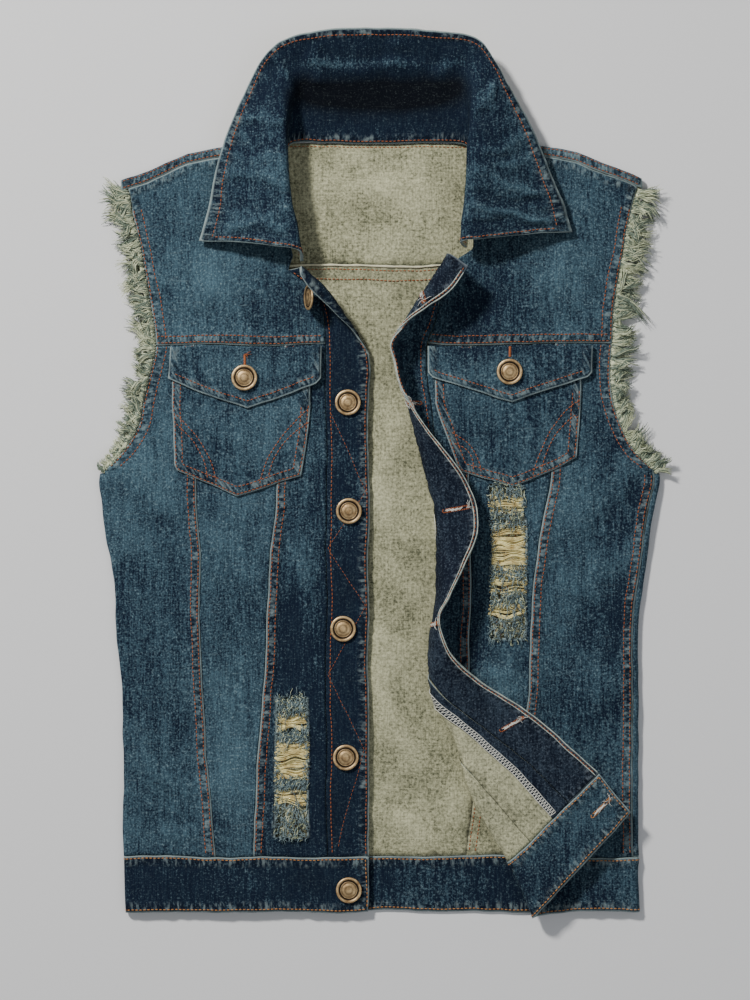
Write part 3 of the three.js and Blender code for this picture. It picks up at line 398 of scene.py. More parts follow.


# %% [markdown]
# ## Creases
# Worn denim never lies quite flat. The same soft troughs and ridges run across
# neighbouring pieces, so they are a field over the laid vest: each row is one
# listed crease, with its own place, depth, width and direction.

# %% The field of creases, mm
CREASES = np.array(  # from x, y, to x, y, height, half width
    [
        (-190, 60, -120, 30, 0.9, 9), (-205, 20, -150, -30, 1.3, 12), (-215, -10, -160, -80, -0.9, 10),
        (-150, -40, -100, -95, 1.0, 11), (-196, -120, -160, -190, 0.9, 14),
        (-130, -130, -105, -240, -0.9, 10), (-70, -60, -60, -170, 0.8, 8),
        (-205, -230, -150, -262, 1.1, 9), (-190, -290, -120, -300, 0.9, 7),
        (-170, 190, -110, 120, 1.2, 12), (-195, 150, -150, 125, -0.9, 9), (-120, 160, -70, 130, 0.9, 9),
        (180, 60, 140, 20, 0.9, 9), (212, 10, 150, -40, 1.4, 12), (205, -60, 150, -100, 1.0, 11),
        (150, -30, 128, -100, -0.9, 9), (190, -150, 150, -230, 1.0, 13), (200, -230, 160, -262, -0.8, 9),
        (100, -140, 92, -190, 0.9, 9), (90, -20, 110, -120, 0.8, 9), (165, 190, 110, 130, 1.2, 12),
        (190, 150, 150, 128, -0.9, 9), (130, 200, 90, 150, 0.9, 10), (170, 118, 60, 122, 0.8, 6),
        (-175, 121, -60, 118, 0.7, 6), (60, -150, 95, -170, 0.8, 8), (-35, 40, -30, -60, 0.6, 8),
        (-40, -150, -28, -220, 0.7, 9), (-20, -280, -45, -300, 0.6, 8), (-200, -335, -60, -340, 0.5, 9),
        (150, -262, 205, -250, 0.9, 8), (-60, -270, -52, -305, 0.8, 7),
    ], float,
)
BACK_CREASES = np.array(
    [
        (-60, 250, 40, 235, 0.9, 12), (-70, 215, 70, 200, -0.6, 10), (-40, 150, -10, 60, 0.9, 12),
        (20, 100, -5, -30, 0.8, 12), (-150, 60, -80, -80, 0.8, 16), (150, 40, 90, -90, 0.9, 16),
        (-10, -120, 15, -240, 1.0, 13), (60, -150, 30, -290, -0.6, 12), (-120, -180, -60, -280, 0.8, 14),
        (140, -200, 100, -300, 0.8, 14), (-20, -270, 40, -300, 0.9, 9),
    ], float,
)


def lumps(x, y, period, seed):
    """Smooth unevenness from -1 to 1: a few crossing waves of nearly one length."""
    total = np.zeros(np.broadcast(x, y).shape)
    for k in range(7):
        angle = seed * 1.7 + k * 2.399
        size = period * (0.72 + 0.11 * k)
        wave = (x * math.cos(angle) + y * math.sin(angle)) * 2 * math.pi / size
        bend = 1.3 * np.sin((x * math.sin(angle) - y * math.cos(angle)) / size * 1.9 + k + seed)
        total = total + np.sin(wave + bend + seed * 3.1 + 1.7 * k)
    return total / 3.2


# patches of worn, faded cloth, and patches of painted shade
WEAR_AND_SHADE_PATCHES = np.array(  # x, y, reach across, reach along, lighter or darker
    [
        (-205, -20, 22, 60, 0.16), (-178, 40, 14, 50, 0.2), (-195, -150, 30, 60, -0.16),
        (-175, -250, 34, 44, 0.1), (-125, -60, 20, 60, 0.12), (-126, -120, 24, 40, -0.2),
        (-128, -215, 16, 60, 0.26), (-128, -290, 20, 22, -0.22), (-72, -40, 16, 60, 0.16),
        (-75, -130, 18, 46, -0.36), (-72, -240, 22, 70, -0.3), (-55, -290, 30, 30, -0.3),
        (-32, 90, 20, 40, -0.4), (-30, -20, 14, 26, 0.12), (-32, -95, 18, 40, -0.4),
        (-32, -180, 18, 40, -0.3), (-35, -270, 18, 40, -0.22), (-150, 165, 50, 26, 0.14),
        (-80, 130, 26, 30, -0.3), (-115, 90, 46, 10, 0.22), (-115, 30, 30, 20, 0.1),
        (100, 140, 50, 26, -0.14), (150, 165, 34, 30, 0.16), (70, 125, 24, 30, -0.36),
        (102, 88, 46, 12, 0.12), (100, 30, 40, 22, 0.08), (182, 30, 12, 50, -0.1),
        (165, -60, 26, 60, 0.1), (190, -120, 18, 90, -0.26), (160, -200, 24, 50, -0.16),
        (98, -165, 16, 30, 0.2), (55, -60, 16, 60, -0.35), (100, -90, 20, 60, 0.05),
        (120, -240, 18, 40, -0.12), (-160, -335, 60, 16, -0.22), (150, -335, 40, 16, -0.2),
        (-60, -335, 30, 16, -0.3),
    ], float,
)


def wear_and_shade_at(x, y):
    """How much lighter or darker the cloth is here, from the table of patches: worn, faded places, and
    painted shade.
    """
    total = np.zeros(np.broadcast(x, y).shape)
    for sx, sy, across_reach, along_reach, amount in WEAR_AND_SHADE_PATCHES:
        total = total + amount * np.exp(-(((x - sx) / across_reach) ** 2) - ((y - sy) / along_reach) ** 2)
    return total


def settled(x, y):
    """How far the laid cloth has slipped sideways here, in mm: no seam is quite straight."""
    return np.stack([0.9 * lumps(x, y, 85, 21) + 0.22 * lumps(x, y, 24, 22),
                     0.9 * lumps(x, y, 80, 31) + 0.22 * lumps(x, y, 22, 32)], -1)


def creased(table, x, y, seed):
    height = 0.55 * lumps(x, y, 95, seed) + 0.18 * lumps(x, y, 34, seed + 1)
    for ax, ay, bx, by, rise, width in table:
        length = math.hypot(bx - ax, by - ay)
        dx, dy = (bx - ax) / length, (by - ay) / length
        along = ((x - ax) * dx + (y - ay) * dy) / length
        wander = 3.0 * np.sin(along * 5 + ax) + 1.5 * np.sin(along * 11 + by)
        across = (x - ax) * -dy + (y - ay) * dx - wander
        ends = np.clip((along + 0.15) / 0.35, 0, 1) * np.clip((1.15 - along) / 0.35, 0, 1)
        uneven = 1 + 0.3 * np.sin(along * 9 + bx)
        profile = np.exp(-((across / width) ** 2)) - 0.45 * np.exp(-(((across - 1.6 * width) / width) ** 2))
        height = height + rise * uneven * profile * ends * ends * (3 - 2 * ends)
    return height


# %% [markdown]
# ## A sheet of cloth
# Every cloth piece is a fine grid between its two seams. It knows how far each
# point is from a seam, because there the real cloth puckers, fades and wears.

# %% The cloth builder
PUCKER = 7.5  # reach of the gathers beside a seam
CREST_WEAR_AND_SHADE = 0.12  # how much paler the cloth gets per mm of crease: rubbed wear, and painted shade that lightens crests and darkens troughs


class Cloth:
    """A piece of cloth: `rows` are heights, `cols(y)` the places across a row.

    `place` carries both to the laid form. A welt is a doubled strip: its side, width and
    height. `seams` says which of the right, left, top and low sides are sewn, and `outline`
    takes their place on a pocket. `tone` says how pale the cloth is, and `shade` adds painted shade and
    painted highlights to it.
    """

    made = {}

    def __init__(self, name, rows, cols, place, thick=SINGLE, welts=(), tone=0.5, back=False,
                 hide=None, calm=1.0, seams=(1, 1, 1, 1), pucker=0.42, limits=None, outline=None,
                 hole=None, shade=None, creases=None, slot="denim"):
        self.name, self.place, self.thick, self.welts = name, place, thick, welts
        self.rows, self.cols, self.back, self.calm = np.array(rows), cols, back, calm
        self.hide, self.seams, self.pucker, self.tone = hide, seams, pucker, tone
        self.outline, self.hole, self.shade, self.creases = outline, hole, shade, creases
        self.slot = slot
        keys = self.rows[::-1]
        ends = limits or (lambda y: cols(y)[0], lambda y: cols(y)[-1])
        self.ends = [(keys, np.array([end(y) for y in keys])) for end in ends]
        Cloth.made[name] = self

    def normal(self, u, y):
        e = 0.8
        across = self.place(u + e, y) - self.place(u - e, y)
        along = self.place(u, y - e) - self.place(u, y + e)
        n = np.cross(along, across)
        return n / np.maximum(np.linalg.norm(n, axis=-1, keepdims=True), 1e-9)

    def edges(self, u, y):
        """Distances to the right, left, top and bottom seams, in mm."""
        if self.outline is not None:
            p = self.place(u, y)
            near = self.from_outline(p[..., 0], p[..., 1])
            return [near] * 4
        low, high = (np.interp(y, *end) for end in self.ends)
        sides = [np.abs(u - low), np.abs(high - u), np.abs(self.rows[0] - y), np.abs(y - self.rows[-1])]
        return [side if on else np.full_like(side, 99.0) for side, on in zip(sides, self.seams)]

    def from_outline(self, x, y):
        near = np.full(x.shape, 99.0)
        for (ax, ay), (bx, by) in zip(self.outline[:-1], self.outline[1:]):
            run = (bx - ax) ** 2 + (by - ay) ** 2
            t = np.clip(((x - ax) * (bx - ax) + (y - ay) * (by - ay)) / run, 0, 1)
            near = np.minimum(near, np.hypot(x - ax - t * (bx - ax), y - ay - t * (by - ay)))
        return near

    def from_hole(self, u, y):
        hole = self.hole
        dx = np.maximum(np.maximum(hole["right"] - u, u - hole["left"]), 0)
        dy = np.maximum(np.maximum(y - hole["top"], hole["bottom"] - y), 0)
        return np.hypot(dx, dy)

    def along_seam(self, u, y):
        """How far along its nearest seam a point lies, in mm."""
        if self.outline is not None:
            p = self.place(u, y)
            return p[..., 0] + 0.6 * p[..., 1]
        right, left, top, low = self.edges(u, y)
        return np.where(np.minimum(right, left) < np.minimum(top, low), y, u)

    def relief(self, p, near):
        """Height of creases and of the gathers beside seams, in mm."""
        x, y = p[..., 0], p[..., 1]
        gather = np.exp(-((near / PUCKER) ** 2))
        rough = lumps(x, y, 11, 5) * self.pucker * gather + 0.1 * lumps(x, y, 17, 9)
        if self.back:
            folds = np.clip(creased(BACK_CREASES, x, y, 3) * 1.8 + 0.2, 0, 3)
            return folds + np.maximum(rough, 0) * 0.5
        weight = np.clip((p[..., 2] - 1.2) / 4.4, 0, 1)
        table = CREASES if self.creases is None else self.creases
        return np.maximum((creased(table, x, y, 7) * self.calm + rough) * weight, -0.9)

    def skin(self, u, y, face=1, above=0.0):
        """Points of the outer (1) or inner (-1) face, in mm in the frame."""
        u, y = np.broadcast_arrays(np.asarray(u, float), np.asarray(y, float))
        p = self.place(u, y)
        n = self.normal(u, y)
        right, left, top, low = self.edges(u, y)
        near = np.minimum(np.minimum(right, left), np.minimum(top, low))
        rise = np.zeros_like(u)
        for side, width, height in self.welts:
            d = {"right": right, "left": left, "top": top, "low": low}[side]
            rise = np.maximum(rise, height * np.clip((width + 0.9 - d) / 0.9, 0, 1))
        away = face * (self.thick / 2 + above) + (rise if face > 0 else np.zeros_like(rise))
        out = p + n * away[..., None]
        out[..., 2] += self.relief(p, near)
        out[..., :2] += SHIFT + settled(p[..., 0], p[..., 1])
        return out

    def build(self, finishes):
        u = np.array([self.cols(y) for y in self.rows])
        y = np.repeat(self.rows[:, None], u.shape[1], axis=1)
        count, wide = u.shape
        outer, inner = self.skin(u, y, 1), self.skin(u, y, -1)
        inner[..., 2] = np.maximum(inner[..., 2], 0)
        outer[..., 2] = np.maximum(outer[..., 2], 0)
        shown = np.ones((count - 1, wide - 1), bool)
        if self.hide:
            shown = ~self.hide((u[:-1, :-1] + u[1:, 1:]) / 2, (y[:-1, :-1] + y[1:, 1:]) / 2)
        index = np.arange(count * wide).reshape(count, wide)
        nw, ne, se, sw = index[:-1, :-1], index[:-1, 1:], index[1:, 1:], index[1:, :-1]
        size = count * wide
        pad = np.pad(shown, 1)
        faces, slots = [], []

        def add(mask, a, b, c, d, slot):
            quads = np.stack([a[mask], b[mask], c[mask], d[mask]], 1)
            faces.append(quads)
            slots.append(np.full(len(quads), slot))

        add(shown, nw, sw, se, ne, 0)
        add(shown, nw + size, ne + size, se + size, sw + size, 1)
        add(shown & ~pad[:-2, 1:-1], nw, ne, ne + size, nw + size, 2)
        add(shown & ~pad[2:, 1:-1], se, sw, sw + size, se + size, 2)
        add(shown & ~pad[1:-1, :-2], sw, nw, nw + size, sw + size, 2)
        add(shown & ~pad[1:-1, 2:], ne, se, se + size, ne + size, 2)
        faces, slots = np.concatenate(faces), np.concatenate(slots)
        verts = np.concatenate([outer.reshape(-1, 3), inner.reshape(-1, 3)]) * MM
        right, left, top, low = self.edges(u, y)
        near = np.minimum(np.minimum(right, left), np.minimum(top, low))
        if self.hole:
            torn = self.from_hole(u, y)
            near = np.where(torn < 2.5, np.minimum(near, torn * 0.7), near)
        spot = self.place(u, y)
        # fade is the cloth's tone and wear together with painted shade: the patches, the crease height and
        # `shade` all add to it
        fade = self.tone + wear_and_shade_at(spot[..., 0], spot[..., 1]) * (0 if self.back else 1)
        fade = fade + CREST_WEAR_AND_SHADE * self.relief(spot, near)
        if self.shade:
            fade = fade + self.shade(u, y)
        mesh = bpy.data.meshes.new(self.name + "_cloth")
        mesh.from_pydata(verts.tolist(), [], faces.tolist())
        painted = {
            "seam": np.clip(near, 0, 60),
            "fade": np.clip(fade, -1, 2),
            "along": self.along_seam(u, y),
        }
        for key, value in painted.items():
            layer = mesh.attributes.new(key, "FLOAT", "POINT")
            layer.data.foreach_set("value", np.tile(value.ravel(), 2).astype(np.float32))
        mesh.polygons.foreach_set("material_index", slots.astype(np.int32))
        mesh.polygons.foreach_set("use_smooth", np.ones(len(faces), bool))
        for finish in finishes:
            mesh.materials.append(finish.material)
        mesh.update()
        piece = bpy.data.objects.new(self.name + "_cloth", mesh)
        bpy.context.scene.collection.objects.link(piece)
        self.drop_loose(piece)
        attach(piece, "root")
        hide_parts(self.name)
        self.piece = piece
        self.cut = self.flat_size(u, y, shown)
        return piece

    @staticmethod
    def drop_loose(piece):
        bm = bmesh.new()
        bm.from_mesh(piece.data)
        loose = [v for v in bm.verts if not v.link_faces]
        bmesh.ops.delete(bm, geom=loose, context="VERTS")
        bm.to_mesh(piece.data)
        bm.free()

    def flat_size(self, u, y, shown):
        """Width, length and area of the cut, in metres."""
        p = self.place(u, y)
        across = np.linalg.norm(np.diff(p, axis=1), axis=-1)
        along = np.linalg.norm(np.diff(p, axis=0), axis=-1)
        cell = np.linalg.norm(np.cross(p[1:, 1:] - p[:-1, :-1], p[1:, :-1] - p[:-1, 1:]), axis=-1) / 2
        width, length = np.max(across.sum(1)) * MM, np.max(along.sum(0)) * MM
        if self.outline:
            width, length = np.ptp(np.array(self.outline), axis=0) * MM
        return float(width), float(length), float((cell * shown).sum()) * MM * MM


def spread(low, high, step):
    """Even places from low to high, about `step` apart."""
    return np.linspace(low, high, max(2, int(abs(high - low) / step + 0.5) + 1))


def rows_through(high, low, step, fixed=()):
    """Rows from high to low that also pass through the fixed heights."""
    marks = [high, *sorted((f for f in fixed if low < f < high), reverse=True), low]
    rows = [y for a, b in zip(marks[:-1], marks[1:]) for y in spread(a, b, step)[:-1]]
    return np.array(rows + [low])


def joined(*parts):
    """Columns from several runs, each a start, an end and a count of steps."""
    runs = [np.linspace(a, b, n + 1)[:-1] for a, b, n in parts]
    return np.concatenate([*runs, [parts[-1][1]]])


# %% [markdown]
# ## Materials
# Indigo twill shows dark yarns over pale ones: it fades where it rubs, and
# along a seam it ropes into light ridges and dark grooves. The inside shows
# more of the pale yarns. Each finish is procedural, on object coordinates.

# %% Denim, outside
def denim(name, dark, mid, pale, wash_gain=1.0):
    f = Finish(name, Roughness=0.88, Specular_IOR_Level=0.16)
    seam, fade, along = f.attribute("seam"), f.attribute("fade"), f.attribute("along")
    cloud, blotch = f.noise(11, 3, 0.55), f.noise(38, 4, 0.6)
    streak = f.noise(70, 3, 0.6, stretch=(0.45, 4, 1))
    speck, grain = f.noise(260, 3, 0.7), f.noise(640, 2, 0.7)
    slub_up = f.noise(300, 2, 0.6, stretch=(0.35, 5, 1))
    slub_side = f.noise(280, 2, 0.6, stretch=(5, 0.4, 1))
    spot = f.node("SeparateXYZ", Vector=f.place)
    strip = f.node("CombineXYZ", X=along * 0.36, Y=seam * 0.12, Z=spot["X"] * 7)["Vector"]
    bars = f.node("TexNoise", Vector=strip, Scale=1.0, Detail=2.0, Roughness=0.55)["Factor"]
    sewn = seam.between(0.9, 2.4) * (1 - seam.between(5.6, 9.4))
    worn_edge = (1 - seam.between(0.4, 1.5)) * (blotch * 1.2 + 0.2)
    # fade carries both wear and painted shade, so this paleness holds both, with the random mottling
    wear_and_shade = fade - 0.11 + (cloud - 0.5) * 0.9 + (blotch - 0.5) * 0.5 + (streak - 0.5) * 0.7
    worn = (wear_and_shade * wash_gain + (speck - 0.5) * 0.8 + (grain - 0.5) * 1.7 + (slub_up - 0.5) * 0.8).limit()
    worn = worn * 0.93 + (grain + slub_up - 0.88).limit() * 0.34
    base = f.mix(worn, dark, mid)
    # painted shade: where fade drops below zero, from the collar's stand and the back of the waistband, the
    # cloth is painted nearly black
    base = f.mix((0 - fade).between(0.15, 0.95), base, tuple(c * 0.25 for c in dark))
    ridge = bars.between(0.50, 0.68) * sewn
    groove = (1 - bars.between(0.34, 0.50)) * sewn
    base = f.mix((groove * 0.78).limit(), base, tuple(c * 0.5 for c in dark))
    base = f.mix((ridge * 0.36 + worn_edge * 0.85).limit(), base, pale)
    fleck = grain.between(0.56, 0.72) * 0.3 + slub_side.between(0.6, 0.8) * 0.2
    base = f.mix((fleck * (worn + 0.15)).limit(), base, pale)
    f.paint(Base_Color=base)
    twill = f.node("Mapping", Vector=f.place, Rotation=(0, 0, math.radians(-58)))["Vector"]
    ribs = f.node("TexWave", {"bands_direction": "X"}, Vector=twill, Scale=430.0, Distortion=1.5,
                  Detail=2.0)["Factor"]
    f.bump(ribs * 0.2 + speck * 0.5 + bars * sewn * 1.6 + slub_up * 0.3, 0.001, 0.7)
    return f


# %% Inside, facing and threads
def inside_cloth(name, low, high, folds=0.0):
    f = Finish(name, Roughness=0.9, Specular_IOR_Level=0.15)
    seam, fade = f.attribute("seam"), f.attribute("fade")
    cloud, grain = f.noise(26, 4, 0.6), f.noise(480, 3, 0.7)
    slub_up = f.noise(300, 2, 0.6, stretch=(0.3, 6, 1))
    slub_side = f.noise(300, 2, 0.6, stretch=(6, 0.3, 1))
    heather = (cloud - 0.5) * 0.9 + (grain - 0.5) * 2.2 + slub_up * 0.6 + slub_side * 0.5
    # painted fold shade: `folds` lightens the crests and darkens the troughs, from the crease height in
    # fade
    heather = (heather + (fade - 0.62) * folds).limit()
    base = f.mix(heather, low, high)
    dull = (1 - seam.between(0.5, 9.0)) * f.noise(110, 2).between(0.5, 0.6) * 0.5
    base = f.mix(dull.limit(), base, tuple(c * 0.45 for c in low))
    f.paint(Base_Color=base)
    f.bump(grain * 0.5 + slub_up * 0.4 + slub_side * 0.3, 0.0008, 0.6)
    return f


def thread(name, color, deep, patchy=1.0):
    f = Finish(name, Roughness=0.62, Specular_IOR_Level=0.3)
    tone = (f.noise(900, 2, 0.6) - 0.5) * 0.8 + (f.noise(150, 3, 0.6) - 0.5) * patchy + 0.62
    f.paint(Base_Color=f.mix(tone.limit(), deep, color))
    f.bump(f.noise(2600, 2), 0.0002, 0.5)
    return f


def copper():
    f = Finish("antique_copper", Metallic=0.72, Specular_IOR_Level=0.5)
    worn, pit = f.noise(240, 4, 0.6), f.noise(900, 3, 0.6)
    tone = (worn - 0.5) * 2.2 + 0.5
    base = f.mix(tone.limit(), (0.34, 0.19, 0.075), (0.97, 0.71, 0.37))
    base = f.mix((f.attribute("groove") * 1.3).limit(), base, (0.02, 0.011, 0.006))
    f.paint(Base_Color=base, Roughness=(0.33 + pit * 0.25).limit())
    f.bump(worn * 0.5 + pit * 0.5, 0.0004, 0.5)
    return f


DENIM = denim("denim", (0.0034, 0.0095, 0.0245), (0.079, 0.151, 0.194), (0.37, 0.46, 0.45))
INSIDE = inside_cloth("inside_weave", (0.092, 0.097, 0.060), (0.61, 0.60, 0.385))
# the inside of the back gets painted fold shade
BACK_INSIDE_FOLD_SHADED = inside_cloth("back_inside_weave_fold_shaded", (0.092, 0.097, 0.056), (0.60, 0.59, 0.375), 0.9)
FACING = denim("dark_facing", (0.0035, 0.007, 0.017), (0.048, 0.072, 0.102), (0.22, 0.26, 0.29))
RAW_EDGE = thread("raw_edge", (0.34, 0.40, 0.38), (0.12, 0.17, 0.18))
ORANGE = thread("rust_thread", (0.48, 0.145, 0.048), (0.15, 0.04, 0.018))
GOLD = thread("gold_thread", (0.70, 0.32, 0.095), (0.27, 0.09, 0.028))
WORN = thread("worn_edge", (0.60, 0.66, 0.56), (0.20, 0.26, 0.26), 2.0)
CREAM = thread("cream_edge", (0.86, 0.84, 0.60), (0.50, 0.46, 0.30))
YELLOW = thread("rip_thread", (0.97, 0.88, 0.43), (0.34, 0.21, 0.055), 2.6)
WHITE = thread("white_thread", (0.84, 0.84, 0.76), (0.46, 0.46, 0.42))
FRAY = thread("fray_thread", (0.74, 0.77, 0.53), (0.20, 0.25, 0.15), 2.2)
GREY_FRAY = thread("grey_fray", (0.27, 0.33, 0.25), (0.05, 0.08, 0.06), 2.0)
BLUE_FRAY = thread("blue_fray", (0.26, 0.35, 0.36), (0.04, 0.07, 0.09), 2.5)
COPPER = copper()
OUTSIDE = (DENIM, INSIDE, RAW_EDGE)

# %% [markdown]
# ## The panels
# Columns run from the wearer's right to left, rows from the top down, so the
# first side of each sheet faces up: denim on the fronts, and the pale inside
# of the cloth on the back, which is seen through the neck and armholes.

# %% Front panels
FINE, COARSE = 2.5, 4.5
PANEL_TOP, PANEL_LOW = YOKE_SEAM - HALF, BAND_TOP + HALF
WELT, WELT_RISE = 8.5, 0.7


def outline(key, y):
    return float(smooth(OUTLINE, y)[..., 0 if key == "right" else 1])


def seam_x(k, y):
    return float(smooth(SEAMS, y)[..., k])


def flat(u, y):
    return np.stack([u, y, np.full_like(u, FRONT_Z)], -1)


def panel_rows(step, fixed=()):
    return rows_through(PANEL_TOP, PANEL_LOW, step, fixed)


def center_right_cols(y):
    a = seam_x(1, y) + HALF
    hole = max(RIP_RIGHT["right"], a + WELT + 3)
    return joined((a, hole, 8), (hole, RIP_RIGHT["left"], 12), (RIP_RIGHT["left"], RIGHT_INNER - HALF, 7))


def mid_left_cols(y):
    a, b = seam_x(2, y) + HALF, seam_x(3, y) - HALF
    torn = min(max((y - RIP_LEFT["bottom"]) / 60 + 1, 0), 1)
    start = a + 6 + (RIP_LEFT["right"] - a - 6) * torn
    stop = min(RIP_LEFT["left"], b - 3)
    return joined((a, start, 6), (start, stop, 13), (stop, b, 6))


def window(hole):
    def hide(u, y):
        inside = (u > hole["right"]) & (u < hole["left"])
        return inside & (y < hole["top"]) & (y > hole["bottom"])
    return hide


Cloth("front_center_right", panel_rows(FINE, (RIP_RIGHT["top"], RIP_RIGHT["bottom"])),
      center_right_cols, drape_right, tone=0.3, welts=(("right", WELT, WELT_RISE),), seams=(1, 0, 0, 0),
      hide=window(RIP_RIGHT), hole=RIP_RIGHT)
Cloth("front_mid_left", panel_rows(FINE, (RIP_LEFT["top"], RIP_LEFT["bottom"])),
      mid_left_cols, drape_left, tone=0.36, seams=(0, 0, 0, 0), hide=window(RIP_LEFT), hole=RIP_LEFT)
Cloth("front_mid_right", panel_rows(FINE),
      lambda y: np.linspace(seam_x(0, y) + HALF, seam_x(1, y) - HALF, 29), flat,
      tone=0.58, seams=(0, 0, 0, 0))
Cloth("front_center_left", panel_rows(FINE),
      lambda y: np.linspace(LEFT_INNER + HALF, seam_x(2, y) - HALF, 19), drape_left,
      tone=0.42, welts=(("left", WELT, WELT_RISE),), seams=(0, 1, 0, 0))


# %% Side panels, wrapped round the side folds
TURN_ARC = math.pi * FOLD_R
UNDER = 8
MIDDLE_Z = (FRONT_Z + BACK_Z) / 2


def turn_x(key, y):
    side = -1 if key == "right" else 1
    values = smooth(OUTLINE, y)[..., 0 if key == "right" else 1]
    return values - side * (FOLD_R + SINGLE / 2)


def wrapped(key, first_z):
    """Flat inside the fold, then half round it, then flat on the other layer."""
    side = -1 if key == "right" else 1
    sign = 1 if first_z == FRONT_Z else -1

    def place(u, y):
        turn = turn_x(key, y)
        past = side * (u - turn)
        angle = np.clip(past / FOLD_R, 0, math.pi)
        round_x = turn + side * (FOLD_R * np.sin(angle) - np.maximum(past - TURN_ARC, 0))
        x = np.where(past < 0, u, round_x)
        return np.stack([x, y, MIDDLE_Z + sign * FOLD_R * np.cos(angle)], -1)

    return place


ROUND = list(np.linspace(0, TURN_ARC, 8)[1:])
SIDE_HEIGHTS = rows_through(PANEL_TOP, PANEL_LOW, FINE, (ARMHOLE_END,))
SIDE_COLUMNS = 32
NO_SEAM = 40  # a limit this far out keeps a fold from looking like a sewn edge
SHORT = 5  # the left panel stops so far inside the outline, under the back's fold


def right_seam(y):
    return seam_x(0, y) - HALF


def left_seam(y):
    return seam_x(3, y) + HALF


def right_end(y):
    return outline("right", y) + (STRIP if y > ARMHOLE_END else -NO_SEAM)


def left_end(y):
    return outline("left", y) - (STRIP if y > ARMHOLE_END else SHORT)


def right_cols(y):
    """From behind the side fold to the seam; the last ones are round the fold."""
    stop = outline("right", y) + STRIP if y > ARMHOLE_END else float(turn_x("right", y))
    past = ROUND + [TURN_ARC + 2.5, TURN_ARC + 5, TURN_ARC + UNDER]
    return np.concatenate([np.linspace(right_seam(y), stop, SIDE_COLUMNS), stop - np.array(past)])[::-1]


def left_cols(y):
    return np.linspace(left_seam(y), left_end(y), SIDE_COLUMNS)


def past_right_armhole(u, y):
    """Cloth past the fold exists only below the armhole."""
    return (y > ARMHOLE_END) & (smooth(OUTLINE, y)[..., 0] + STRIP - u > 0.01)


Cloth("front_side_right", SIDE_HEIGHTS, right_cols, wrapped("right", FRONT_Z), tone=0.46,
      limits=(right_end, right_seam), seams=(1, 1, 0, 0), welts=(("left", WELT, WELT_RISE),),
      hide=past_right_armhole)
Cloth("front_side_left", SIDE_HEIGHTS, left_cols, flat, tone=0.46,
      limits=(left_seam, left_end), seams=(1, 1, 0, 0), welts=(("right", WELT, WELT_RISE),))


# %% Front yokes
YOKE_WIDE = 150
EDGE_TOP = 168.0  # the top of the button band, where the neck's own edge begins


def shoulder_seam(x):
    line = YOKE[YOKE[:, 3] > 0]
    return np.interp(x, line[:, 1], line[:, 2]) - 8.5


def yoke_place(side):
    """The form of a front yoke, from its band (u = 0) to its armhole, and its top height."""
    column = 0 if side < 0 else 1
    inner = (RIGHT_INNER if side < 0 else LEFT_INNER) + side * HALF
    edge = drape_right if side < 0 else drape_left
    neck = NECK[side][::-1]
    outer_top = float(shoulder_seam(side * 214)) - 0.3
    top_v = neck[-1, 1]
    count = len(neck)
    knots = np.array([EDGE_TOP] + [row[1] for row in neck])
    share_up = np.array([0] + [(k + 1) / count for k in range(count)])

    def place(u, y):
        share = np.clip(side * u / YOKE_WIDE, 0, 1)
        high = np.clip(y, EDGE_TOP, top_v)
        on_edge = edge(np.full_like(u, inner), np.minimum(y, EDGE_TOP))
        first = edge(np.array([inner]), np.array([EDGE_TOP]))[0]
        line = np.vstack([first[None, :], neck])
        a = np.stack([np.interp(high, knots, line[:, k]) for k in range(3)], -1)
        a = np.where((y > EDGE_TOP)[..., None], a, on_edge)
        up = np.interp(high, knots, share_up)
        b_y = np.where(y > EDGE_TOP, EDGE_TOP + (outer_top - EDGE_TOP) * up, y)
        b_x = smooth(OUTLINE, b_y)[..., column] - side * STRIP
        climb = 1 - np.clip(share / 0.4, 0, 1)
        z = FRONT_Z + (a[..., 2] - FRONT_Z) * climb**2
        x = a[..., 0] + (b_x - a[..., 0]) * share
        inner_x, inner_y = line[-1, :2]
        outer_x = float(smooth(OUTLINE, outer_top)[column]) - side * STRIP
        straight = inner_y + (outer_top - inner_y) * share
        bow = shoulder_seam(inner_x + (outer_x - inner_x) * share) - 0.3 - straight
        yy = a[..., 1] + (b_y - a[..., 1]) * share + bow * up
        return np.stack([x, yy, z], -1)

    return place, top_v


def front_yoke(side):
    place, top = yoke_place(side)
    rows = rows_through(top, YOKE_SEAM + HALF, 3.0, (EDGE_TOP,))
    ends = (-YOKE_WIDE, 0) if side < 0 else (0, YOKE_WIDE)
    Cloth("front_yoke_" + ("right" if side < 0 else "left"), rows,
          lambda y: np.linspace(*ends, 58), place, tone=0.55 if side < 0 else 0.47,
          welts=(("low", WELT, WELT_RISE),), seams=(1, 0, 1, 1) if side < 0 else (0, 1, 1, 1))


front_yoke(-1)
front_yoke(1)


# %% Front bands and the facing
Cloth("placket_right", rows_through(EDGE_TOP, PANEL_LOW, FINE, (YOKE_SEAM,)),
      lambda y: np.linspace(RIGHT_INNER + 0.3, RIGHT_EDGE, 15), drape_right, DOUBLE,
      tone=0.08, calm=0.7, pucker=0.5, seams=(0, 1, 0, 0))
Cloth("placket_left", rows_through(172, PANEL_LOW, FINE, (YOKE_SEAM,)),
      lambda y: np.linspace(LEFT_EDGE, LEFT_INNER - 0.3, 19), drape_left, DOUBLE,
      tone=0.34, calm=0.7, pucker=0.5, seams=(1, 0, 1, 1))


def lay_along(place, drop):
    """The same form, `drop` mm under the first one."""
    def under(u, y):
        e = 0.8
        side = place(u + e, y) - place(u - e, y)
        down = place(u, y - e) - place(u, y + e)
        n = np.cross(down, side)
        n /= np.maximum(np.linalg.norm(n, axis=-1, keepdims=True), 1e-9)
        return place(u, y) - n * drop
    return under


